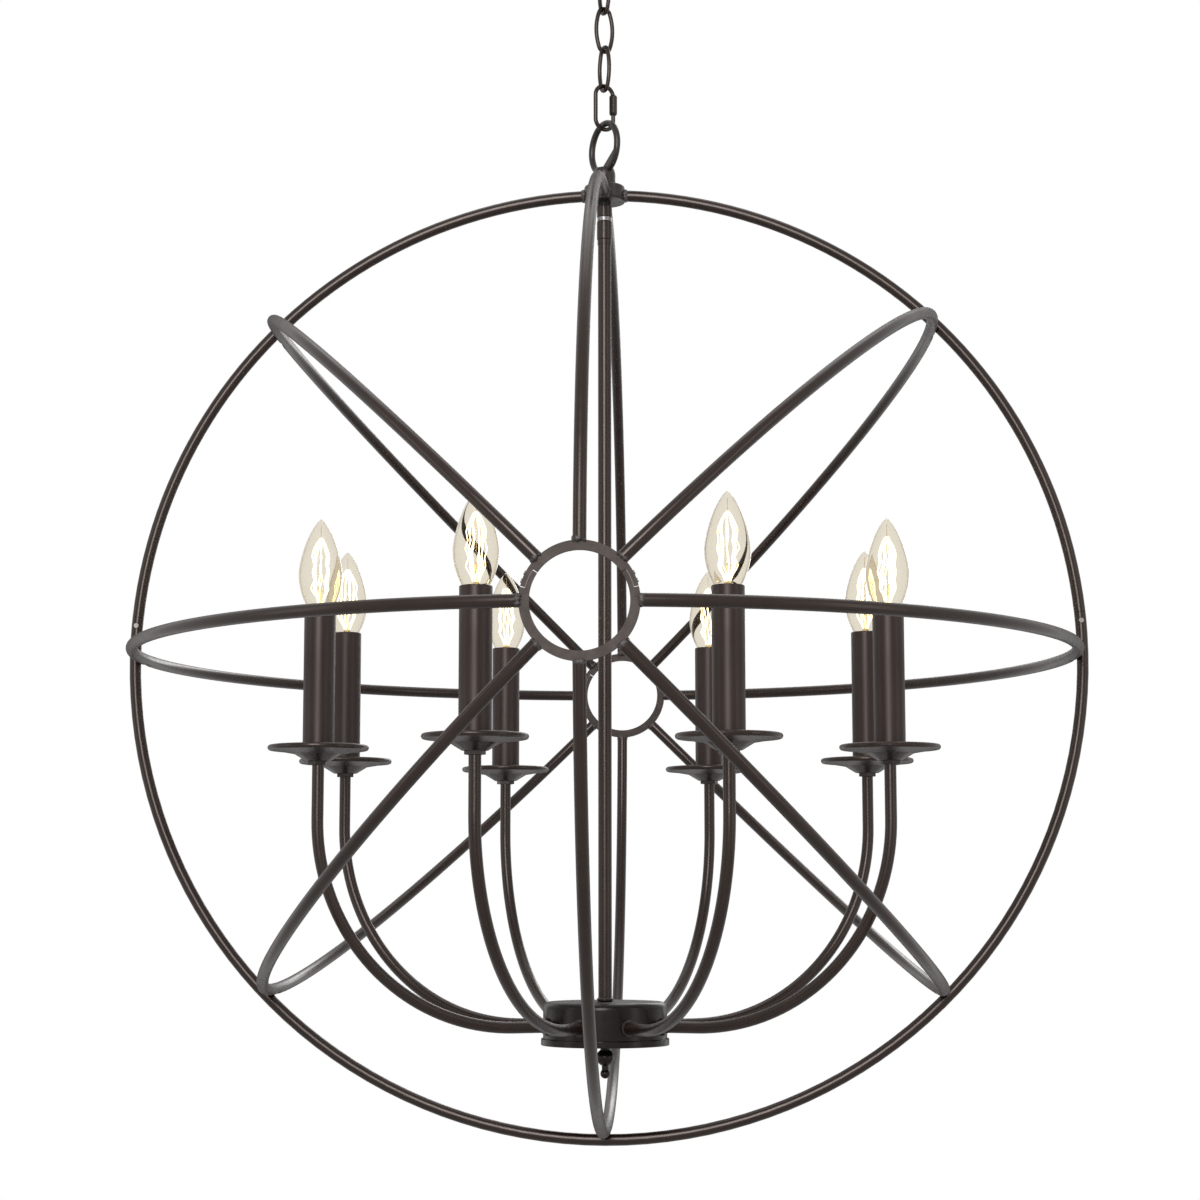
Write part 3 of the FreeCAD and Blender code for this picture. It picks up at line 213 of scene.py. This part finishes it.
def weld_paint():
    """The paint over the weld beads: rougher and a little lighter than the bars' bronze."""
    material, tree, shader = new_material("weld_bead_paint")
    speck = noise_node(tree, 700.0, 6.0, 0.7)
    tone = ramp_node(
        tree, speck, "Fac", [(0.35, (0.014, 0.011, 0.010)), (0.62, (0.046, 0.038, 0.035))]
    )
    link(tree, tone, "Color", shader, "Base Color")
    rough = range_node(tree, speck, "Fac", 0.34, 0.6)
    link(tree, rough, "Result", shader, "Roughness")
    add_bump(tree, shader, speck, "Fac", 0.5, 0.5 * MM)
    return material


def bulb_glass():
    """Clear glass with a pale amber cast that deepens towards the silhouette."""
    material, tree, shader = new_material("bulb_clear_glass")
    shader.inputs["Transmission Weight"].default_value = 1.0
    shader.inputs["IOR"].default_value = 1.12
    swirl = noise_node(tree, 60.0, 1.0)
    edge = tree.nodes.new("ShaderNodeLayerWeight")
    edge.inputs["Blend"].default_value = 0.42
    tone = ramp_node(
        tree,
        edge,
        "Facing",
        [
            (0.0, (0.885, 0.852, 0.785)),
            (0.46, (0.860, 0.822, 0.745)),
            (0.6, (0.74, 0.685, 0.59)),
            (0.8, (0.36, 0.31, 0.24)),
        ],
    )
    link(tree, tone, "Color", shader, "Base Color")
    rough = range_node(tree, swirl, "Fac", 0.0, 0.02)
    link(tree, rough, "Result", shader, "Roughness")
    return material


def glowing(name, color, strength):
    """A hot wire, a little uneven along its length."""
    material, tree, shader = new_material(name)
    heat = noise_node(tree, 300.0)
    tone = ramp_node(
        tree, heat, "Fac", [(0.3, color), (0.7, tuple(min(1.0, v * 1.15) for v in color))]
    )
    link(tree, tone, "Color", shader, "Emission Color")
    link(tree, tone, "Color", shader, "Base Color")
    shader.inputs["Emission Strength"].default_value = strength
    return material


def stem_glass():
    material, tree, shader = new_material("bulb_stem_glass")
    tone = ramp_node(
        tree,
        noise_node(tree, 200.0),
        "Fac",
        [(0.3, (0.96, 0.80, 0.48)), (0.7, (1.0, 0.88, 0.62))],
    )
    link(tree, tone, "Color", shader, "Base Color")
    shader.inputs["Roughness"].default_value = 0.2
    shader.inputs["Transmission Weight"].default_value = 0.6
    return material


def socket_plastic():
    material, tree, shader = new_material("socket_phenolic")
    tone = ramp_node(
        tree,
        noise_node(tree, 220.0),
        "Fac",
        [(0.3, (0.030, 0.027, 0.025)), (0.7, (0.055, 0.050, 0.046))],
    )
    link(tree, tone, "Color", shader, "Base Color")
    rough = range_node(tree, noise_node(tree, 400.0), "Fac", 0.5, 0.68)
    link(tree, rough, "Result", shader, "Roughness")
    add_bump(tree, shader, noise_node(tree, 800.0), "Fac", 0.15, 0.2 * MM)
    return material


BRONZE = bronze_paint("dark_bronze_paint", (0.0064, 0.0028, 0.0016), (0.0120, 0.0062, 0.0042))
BRONZE_RING = bronze_paint(
    "pole_ring_paint", (0.014, 0.0100, 0.0086), (0.026, 0.0200, 0.0178), 0.5, 0.62, 0.2
)
BRONZE_HUB = bronze_paint("hub_paint", (0.009, 0.008, 0.0078), (0.016, 0.014, 0.0135), 0.28, 0.4)
BRONZE_CAN = bronze_paint(
    "can_paint", (0.0030, 0.0025, 0.0023), (0.0062, 0.0053, 0.0050), 0.2, 0.28, 0.03, 0.2
)
MATERIALS = {
    "dark_bronze": BRONZE,
    "bright_nickel": plated("bright_nickel", (0.21, 0.205, 0.2), 0.28),
    "zinc_steel": threaded("zinc_thread", (0.62, 0.62, 0.60), 0.3, 1.0 * MM),
    "screw_steel": plated("blackened_screw", (0.16, 0.145, 0.135), 0.32),
    "candle_sleeve": sleeve_paint(),
    "socket_plastic": socket_plastic(),
    "bulb_glass": bulb_glass(),
}
PLAIN_ZINC = plated("zinc_plate", (0.60, 0.60, 0.58), 0.28)
SPECIAL = {
    "ceiling_bracket": PLAIN_ZINC,
    "ceiling_pipe_nuts": PLAIN_ZINC,
    "arm_nuts": BRONZE_HUB,
    "front_ring_upper": BRONZE_RING,
    "front_ring_lower": BRONZE_RING,
    "back_ring_upper": BRONZE_RING,
    "back_ring_lower": BRONZE_RING,
    "top_hub": BRONZE_HUB,
    "hub_can": BRONZE_CAN,
    "hub_base": BRONZE_CAN,
    "finial": BRONZE_CAN,
    "top_loop": BRONZE_HUB,
}

for row in frame["record"]["subparts"]:
    node = frame["nodes"][row["node"]]
    paint = SPECIAL.get(row["node"], MATERIALS[row["material_slot"]])
    node.data.materials.clear()
    node.data.materials.append(paint)


# ------------------------------------------------------------------ mesh helpers


def add_piece(name, points, faces, body, slot, material, smooth=True):
    mesh = bpy.data.meshes.new(name)
    mesh.from_pydata([tuple(point) for point in points], [], faces)
    mesh.update()
    mesh.materials.append(material)
    mesh.polygons.foreach_set("use_smooth", [smooth] * len(mesh.polygons))
    piece = bpy.data.objects.new(name, mesh)
    bpy.context.scene.collection.objects.link(piece)
    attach(piece, body)
    return piece


def lathe(profile, centre, around=48, closed=False):
    """Points and faces of a profile of (radius, height) turned about an upright axis."""
    points, faces = [], []
    for radius, height in profile:
        for step in range(around):
            angle = 2 * math.pi * step / around
            offset = Vector((radius * math.cos(angle), radius * math.sin(angle), height))
            points.append(centre + offset)
    rows = len(profile)
    for row in range(rows if closed else rows - 1):
        upper = (row + 1) % rows
        for step in range(around):
            after = (step + 1) % around
            faces.append(
                (row * around + step, row * around + after,
                 upper * around + after, upper * around + step)
            )
    if not closed:
        faces.append(tuple(reversed(range(around))))
        faces.append(tuple(range((rows - 1) * around, rows * around)))
    return points, faces


def sweep(path, radius, around=8):
    """Points and faces of a round wire along a path, with flat ends."""
    points, faces = [], []
    side = Vector((0, 0, 1)).orthogonal()
    for index, spot in enumerate(path):
        before = path[max(index - 1, 0)]
        following = path[min(index + 1, len(path) - 1)]
        way = (following - before).normalized()
        side = (side - way * side.dot(way)).normalized()
        across = way.cross(side)
        for step in range(around):
            angle = 2 * math.pi * step / around
            points.append(spot + (side * math.cos(angle) + across * math.sin(angle)) * radius)
    for row in range(len(path) - 1):
        for step in range(around):
            after = (step + 1) % around
            faces.append(
                (row * around + step, row * around + after,
                 (row + 1) * around + after, (row + 1) * around + step)
            )
    faces.append(tuple(reversed(range(around))))
    last = (len(path) - 1) * around
    faces.append(tuple(range(last, last + around)))
    return points, faces


def rounded(path, steps=5):
    """A smooth line through the points of a path (Catmull-Rom)."""
    smooth = []
    for index in range(len(path) - 1):
        p0 = path[max(index - 1, 0)]
        p1, p2 = path[index], path[index + 1]
        p3 = path[min(index + 2, len(path) - 1)]
        for step in range(steps):
            t = step / steps
            smooth.append(
                (
                    p1 * 2
                    + (p2 - p0) * t
                    + (p0 * 2 - p1 * 5 + p2 * 4 - p3) * t * t
                    + (p1 * 3 - p0 - p2 * 3 + p3) * t * t * t
                )
                / 2
            )
    smooth.append(path[-1])
    return smooth


def merge(parts):
    points, faces = [], []
    for part_points, part_faces in parts:
        base = len(points)
        points.extend(part_points)
        faces.extend(tuple(index + base for index in face) for face in part_faces)
    return points, faces


# ------------------------------------------------------------------ bulbs

BULB_RADIUS, BULB_HEIGHT, BULB_BELLY = 17.5 * MM, 71 * MM, 27 * MM
NECK_RADIUS, NECK_DEPTH = 8.5 * MM, 2.6 * MM
CAP_RADIUS, CAP_LENGTH = 5.95 * MM, 17 * MM
GLASS = 0.7 * MM


def arc_radius(run, inset):
    return (run * run + inset * inset) / (2 * inset)


def bulb_radius(height):
    """The glass's outer radius at a height above the sleeve's top: an arc up to the belly,
    then a flame that closes in a blunt tip."""
    if height < BULB_BELLY:
        bend = arc_radius(BULB_BELLY + NECK_DEPTH, BULB_RADIUS - NECK_RADIUS)
        return BULB_RADIUS - bend + math.sqrt(bend * bend - (height - BULB_BELLY) ** 2)
    share = (height - BULB_BELLY) / (BULB_HEIGHT - BULB_BELLY)
    return BULB_RADIUS * max(1 - share**1.5, 0) ** 0.7


def glass_profile():
    """The envelope's outline, up the outside and down the inside."""
    steps, tip = 26, 0.2 * MM
    rise = BULB_HEIGHT + NECK_DEPTH
    shares = [math.sin(math.pi / 2 * step / steps) for step in range(steps + 1)]
    heights = [-NECK_DEPTH + (rise - 0.02 * MM) * share for share in shares]
    outside = [(max(bulb_radius(height), tip), height) for height in heights]
    inside = [
        (max(radius - GLASS, tip), min(height, BULB_HEIGHT - GLASS))
        for radius, height in outside[1:]
    ]
    bottom = [(NECK_RADIUS - GLASS, -NECK_DEPTH + GLASS), (NECK_RADIUS - GLASS, -NECK_DEPTH)]
    return outside + list(reversed(inside)) + bottom


def cap_profile():
    """The screw cap under the glass: rolled thread rings over a narrow contact."""
    low = -NECK_DEPTH - CAP_LENGTH
    profile = [(1.2 * MM, low), (2.6 * MM, low + 0.4 * MM), (CAP_RADIUS * 0.8, low + 3 * MM)]
    turns, samples = 6, 6
    start, end = low + 3.4 * MM, -NECK_DEPTH - 2.2 * MM
    for step in range(turns * samples + 1):
        height = start + (end - start) * step / (turns * samples)
        swell = 0.45 * MM * (0.5 - 0.5 * math.cos(2 * math.pi * step / samples))
        profile.append((CAP_RADIUS - 0.5 * MM + swell, height))
    profile += [(CAP_RADIUS - 0.2 * MM, -NECK_DEPTH - 1.5 * MM), (CAP_RADIUS, -NECK_DEPTH)]
    return profile


# Each loop's half: reach from the axis and height, both in millimetres.
FILAMENT_STEPS = [
    (2.2, 3), (4.0, 8), (7.6, 15), (6.4, 21), (8.3, 28), (6.9, 34), (7.8, 41), (5.6, 48),
    (1.6, 55),
]


def filament_path(centre, turn, spread, seed):
    """One glowing loop: up one side in a zigzag, over the top hook and down the other."""
    side = Vector((math.cos(turn), math.sin(turn), 0))
    across = Vector((-math.sin(turn), math.cos(turn), 0))
    legs = []
    for way in (-1, 1):
        leg = []
        for number, (reach, height) in enumerate(FILAMENT_STEPS):
            stray = noise.noise(Vector((seed * 1.7, number * 0.83, way * 2.1)))
            out = side * (way * (reach * spread + stray * 1.3) * MM)
            leg.append(centre + out + across * (stray * 2.6 * MM) + Vector((0, 0, height * MM)))
        legs.append(leg)
    return rounded(legs[0] + list(reversed(legs[1])), 2)


LOOP_SPREADS = (1.0, 0.8, 0.94, 0.7, 0.88)
LOOP_TURN = math.pi / 5
FILAMENT_WIRE, SUPPORT_WIRE = 0.42 * MM, 0.2 * MM
STEM_STEPS = [(0.6, 0.2), (3.4, 0.4), (3.2, 3), (1.9, 6), (1.5, 14), (1.9, 17), (0.8, 19)]
SPINE_HEIGHTS = (15, 36, 54, 66)
ARM_LOW, ARM_HIGH, ARM_REACH, ARM_COUNT = 54.5, 55, 1.8 * MM, 10

HOT = glowing("filament_glow", (1.0, 0.80, 0.50), 2.8)
STEM = stem_glass()
BRASS = plated("bulb_support_wire", (0.80, 0.62, 0.34), 0.2)

for number, name in enumerate(BULBS):
    low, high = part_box(name)
    centre = Vector(((low.x + high.x) / 2, (low.y + high.y) / 2, high.z - BULB_HEIGHT))
    glass = add_piece(
        f"{name}_glass",
        *lathe(glass_profile(), centre, 64, closed=True),
        name,
        "bulb_glass",
        MATERIALS["bulb_glass"],
    )
    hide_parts(name)
    add_piece(
        f"{name}_cap", *lathe(cap_profile(), centre, 40), name, "bright_nickel",
        MATERIALS["bright_nickel"],
    )
    turn = 0.6 + number * 0.9
    loops = [
        filament_path(centre, turn + LOOP_TURN * step, spread, number * 5 + step)
        for step, spread in enumerate(LOOP_SPREADS)
    ]
    add_piece(
        f"{name}_filament",
        *merge([sweep(path, FILAMENT_WIRE, 6) for path in loops]),
        name,
        "bright_nickel",
        HOT,
    )
    add_piece(
        f"{name}_stem",
        *lathe([(r * MM, h * MM - NECK_DEPTH + GLASS) for r, h in STEM_STEPS], centre, 20),
        name,
        "bulb_glass",
        STEM,
    )
    up = Vector((0, 0, MM))
    spine = [centre + up * height for height in SPINE_HEIGHTS]
    arms = [
        [
            centre + up * ARM_LOW,
            centre + up * ARM_HIGH + Vector((math.cos(angle), math.sin(angle), 0)) * ARM_REACH,
        ]
        for angle in (turn + LOOP_TURN * step for step in range(ARM_COUNT))
    ]
    add_piece(
        f"{name}_support",
        *merge([sweep(path, SUPPORT_WIRE, 6) for path in [spine, *arms]]),
        name,
        "bright_nickel",
        BRASS,
    )

# ------------------------------------------------------------------ weld beads

WELD = weld_paint()
POLE_BEAD, RING_BEAD, TOP_ARC_BEAD = 1.15 * MM, 1.3 * MM, 1.9 * MM
BEAD_STAND_OFF = 0.5 * MM


def bead(centre, axis, radius, thickness, seed):
    """A lumpy bead round a bar's end: a ring about the bar whose size wanders."""
    axis = axis.normalized()
    side = axis.orthogonal().normalized()
    across = axis.cross(side)
    around, section = 36, 10
    points, faces = [], []
    for step in range(around):
        angle = 2 * math.pi * step / around
        out = side * math.cos(angle) + across * math.sin(angle)
        lump = noise.noise(out * 1.7 + Vector((seed * 3.7, 0, 0)))
        fine = noise.noise(out * 5.5 + Vector((0, seed * 2.9, 0)))
        size = thickness * (1.0 + 0.9 * lump + 0.5 * fine)
        for part in range(section):
            turn = 2 * math.pi * part / section
            ripple = 1 + 0.16 * noise.noise(out * 9 + Vector((seed, part * 0.9, 0)))
            offset = out * math.cos(turn) * size * ripple + axis * math.sin(turn) * size * 1.5
            points.append(centre + out * radius + offset)
    for step in range(around):
        after = (step + 1) % around
        for part in range(section):
            upper = (part + 1) % section
            faces.append(
                (step * section + part, after * section + part,
                 after * section + upper, step * section + upper)
            )
    return points, faces


def pole_weld_parts(side):
    """A bead where each arc meets the rim of a pole ring."""
    parts = []
    for number in range(8):
        angle = math.pi / 4 * number
        out = Vector((math.cos(angle), 0, math.sin(angle)))
        reach = POLE_RING_RADIUS + BEAD_STAND_OFF
        centre = ORB + out * reach + Vector((0, side * POLE_Y, 0))
        way = out + Vector((0, -side * 0.1, 0))
        parts.append(bead(centre, way, BAR_RADIUS - 1.0 * MM, POLE_BEAD, number + side * 11))
    return parts


def hub_weld_parts():
    """Beads where the ring's and the top arcs' bars end on the drum."""
    parts = []
    for number, out in enumerate(
        (Vector((1, 0, 0)), Vector((-1, 0, 0)), Vector((0, -1, 0)), Vector((0, 1, 0)))
    ):
        centre = ORB + out * (HUB_RADIUS + BEAD_STAND_OFF) + Vector((0, 0, RING_RADIUS - 0.4 * MM))
        thickness = RING_BEAD if number < 2 else TOP_ARC_BEAD
        parts.append(bead(centre, out, BAR_RADIUS - 0.4 * MM, thickness, 40 + number))
    return parts


# The laps run from 13 to 33 degrees above the horizontal.
LAP_LOW, LAP_HIGH = 13, 33
TONGUE, LAP_DEPTH = 3.25 * MM, 1.2 * MM


def lap_paint_parts(side):
    """The paint that fills the thin seam between the two tongues of a pole ring's laps."""
    outer = POLE_RING_RADIUS - TONGUE
    inner = POLE_RING_RADIUS - POLE_RING_WIDTH + TONGUE
    parts = []
    for mirror in (1, -1):
        points, faces = [], []
        steps = 12
        for step in range(steps + 1):
            angle = math.radians(LAP_LOW + (LAP_HIGH - LAP_LOW) * step / steps)
            for reach, depth in (
                (inner, -LAP_DEPTH), (outer, -LAP_DEPTH), (outer, LAP_DEPTH), (inner, LAP_DEPTH)
            ):
                spot = Vector((mirror * reach * math.cos(angle), 0, reach * math.sin(angle)))
                points.append(ORB + spot + Vector((0, side * POLE_Y + depth, 0)))
        for step in range(steps):
            for corner in range(4):
                after = (corner + 1) % 4
                low, high = step * 4, (step + 1) * 4
                faces.append((low + corner, low + after, high + after, high + corner))
        faces.append((3, 2, 1, 0))
        faces.append(tuple(steps * 4 + corner for corner in range(4)))
        parts.append((points, faces))
    return parts


for label, side in (("front", -1), ("back", 1)):
    points, faces = merge(pole_weld_parts(side))
    add_piece(f"{label}_pole_welds", points, faces, "chandelier", "dark_bronze", WELD)
    points, faces = merge(lap_paint_parts(side))
    add_piece(
        f"{label}_lap_paint", points, faces, "chandelier", "dark_bronze", BRONZE, smooth=False
    )
points, faces = merge(hub_weld_parts())
add_piece("hub_welds", points, faces, "chandelier", "dark_bronze", WELD)

# ------------------------------------------------------------------ smooth shading


def smooth_node(node, limit=math.radians(32)):
    """Rounds the shading of a carried-over piece, and keeps its real edges sharp."""
    with bpy.context.temp_override(
        object=node, active_object=node, selected_editable_objects=[node], selected_objects=[node]
    ):
        bpy.ops.object.shade_smooth_by_angle(angle=limit)


for node in frame["nodes"].values():
    if not node.hide_render:
        smooth_node(node)

# ------------------------------------------------------------------ floor, light, camera

FLOOR_DEPTH, FLOOR_RADIUS = 1.42, 1.7
FLOOR_FADE_FROM, FLOOR_OPACITY = 0.75, 0.6
ROOM_LIGHT, ROOM_WHITE = 0.22, 1.0


def add_floor():
    """A round pale floor that lets some of the white room through, fades out at its rim and
    doesn't show from below, where a hanging lamp is looked at too."""
    around = 96
    points = [
        (
            FLOOR_RADIUS * math.cos(2 * math.pi * step / around),
            FLOOR_RADIUS * math.sin(2 * math.pi * step / around),
            -FLOOR_DEPTH,
        )
        for step in range(around)
    ]
    mesh = bpy.data.meshes.new("floor")
    mesh.from_pydata(points, [], [tuple(range(around))])
    material, tree, shader = new_material("pale_floor")
    tone = ramp_node(
        tree, noise_node(tree, 1.5), "Fac", [(0.3, (0.84, 0.84, 0.84)), (0.7, (0.87, 0.87, 0.87))]
    )
    link(tree, tone, "Color", shader, "Base Color")
    shader.inputs["Roughness"].default_value = 0.8
    shader.inputs["Specular IOR Level"].default_value = 0.1
    place = tree.nodes.new("ShaderNodeTexCoord")
    flat = tree.nodes.new("ShaderNodeVectorMath")
    flat.operation = "MULTIPLY"
    flat.inputs[1].default_value = (1, 1, 0)
    link(tree, place, "Object", flat, "Vector")
    reach = tree.nodes.new("ShaderNodeVectorMath")
    reach.operation = "LENGTH"
    tree.links.new(flat.outputs["Vector"], reach.inputs[0])
    fade = tree.nodes.new("ShaderNodeMapRange")
    fade.interpolation_type = "SMOOTHSTEP"
    fade.inputs["From Min"].default_value = FLOOR_FADE_FROM
    fade.inputs["From Max"].default_value = FLOOR_RADIUS - 0.03
    fade.inputs["To Min"].default_value = FLOOR_OPACITY
    fade.inputs["To Max"].default_value = 0.0
    link(tree, reach, "Value", fade, "Value")
    side = tree.nodes.new("ShaderNodeNewGeometry")
    above = tree.nodes.new("ShaderNodeMath")
    above.operation = "SUBTRACT"
    above.use_clamp = True
    link(tree, fade, "Result", above, 0)
    link(tree, side, "Backfacing", above, 1)
    link(tree, above, "Value", shader, "Alpha")
    mesh.materials.append(material)
    floor = bpy.data.objects.new("floor", mesh)
    bpy.context.scene.collection.objects.link(floor)


def set_world():
    """A white room: plain white where the camera, gloss and glass see it, softer as light."""
    world = bpy.data.worlds.new("studio")
    bpy.context.scene.world = world
    world.use_nodes = True
    tree = world.node_tree
    tree.nodes.clear()
    output = tree.nodes.new("ShaderNodeOutputWorld")
    mix = tree.nodes.new("ShaderNodeMixShader")
    soft = tree.nodes.new("ShaderNodeBackground")
    white = tree.nodes.new("ShaderNodeBackground")
    rays = tree.nodes.new("ShaderNodeLightPath")
    soft.inputs["Strength"].default_value = ROOM_LIGHT
    soft.inputs["Color"].default_value = (1, 1, 1, 1)
    white.inputs["Color"].default_value = (1, 1, 1, 1)
    white.inputs["Strength"].default_value = ROOM_WHITE
    first = tree.nodes.new("ShaderNodeMath")
    second = tree.nodes.new("ShaderNodeMath")
    first.operation = second.operation = "MAXIMUM"
    tree.links.new(rays.outputs["Is Camera Ray"], first.inputs[0])
    tree.links.new(rays.outputs["Is Transmission Ray"], first.inputs[1])
    tree.links.new(first.outputs[0], second.inputs[0])
    tree.links.new(rays.outputs["Is Glossy Ray"], second.inputs[1])
    tree.links.new(second.outputs[0], mix.inputs[0])
    tree.links.new(soft.outputs[0], mix.inputs[1])
    tree.links.new(white.outputs[0], mix.inputs[2])
    tree.links.new(mix.outputs[0], output.inputs["Surface"])


def aim(location, target):
    return (target - location).to_track_quat("-Z", "Y").to_euler()


def add_softbox(name, location, size, power):
    """A studio light aimed at the orb, not seen through the bulbs' glass."""
    data = bpy.data.lights.new(name, "AREA")
    data.shape = "RECTANGLE"
    data.size, data.size_y = size
    data.energy = power
    lamp = bpy.data.objects.new(name, data)
    lamp.location = location
    lamp.rotation_euler = aim(lamp.location, ORB)
    lamp.visible_transmission = False
    bpy.context.scene.collection.objects.link(lamp)


# Name, place from the orb's centre, width and height in metres, watts.
SOFTBOXES = [
    ("front_softbox", (-0.3, -3.3, 1.1), (1.2, 2.2), 112),
    ("right_softbox", (2.7, -1.6, 0.4), (0.8, 2.4), 10),
    ("left_softbox", (-2.9, -1.2, 0.5), (0.8, 2.4), 8),
    ("back_softbox", (0.6, 3.1, 1.2), (1.4, 2.0), 30),
    ("top_softbox", (0.0, 0.6, 2.7), (2.4, 2.0), 16),
]

FOCAL_PIXELS, FRAME_PIXELS, SENSOR_MM = 2457.0, 1200.0, 36.0
CAMERA_FROM_ORB = Vector((0.0910, -2.0370, -0.2042))
YAW, PITCH, ROLL = (math.radians(angle) for angle in (-2.671, 7.043, -0.031))


def add_camera():
    """The photograph's viewpoint: a little right of the middle and below the orb's centre."""
    data = bpy.data.cameras.new("camera")
    data.sensor_width = SENSOR_MM
    data.lens = SENSOR_MM * FOCAL_PIXELS / FRAME_PIXELS
    data.clip_end = 60
    forward = Vector(
        (math.sin(YAW) * math.cos(PITCH), math.cos(YAW) * math.cos(PITCH), math.sin(PITCH))
    )
    right = Vector((math.cos(YAW), -math.sin(YAW), 0))
    up = right.cross(forward)
    turned_right = right * math.cos(ROLL) + up * math.sin(ROLL)
    turned_up = up * math.cos(ROLL) - right * math.sin(ROLL)
    place = ORB + CAMERA_FROM_ORB
    columns = Matrix((turned_right, turned_up, -forward)).transposed().to_4x4()
    camera = bpy.data.objects.new("camera", data)
    camera.matrix_world = Matrix.Translation(place) @ columns
    bpy.context.scene.collection.objects.link(camera)
    bpy.context.scene.camera = camera


add_floor()
set_world()
for name, place, size, power in SOFTBOXES:
    add_softbox(name, ORB + Vector(place), size, power)
add_camera()
bpy.context.scene.view_settings.view_transform = "Standard"

bpy.context.view_layer.update()
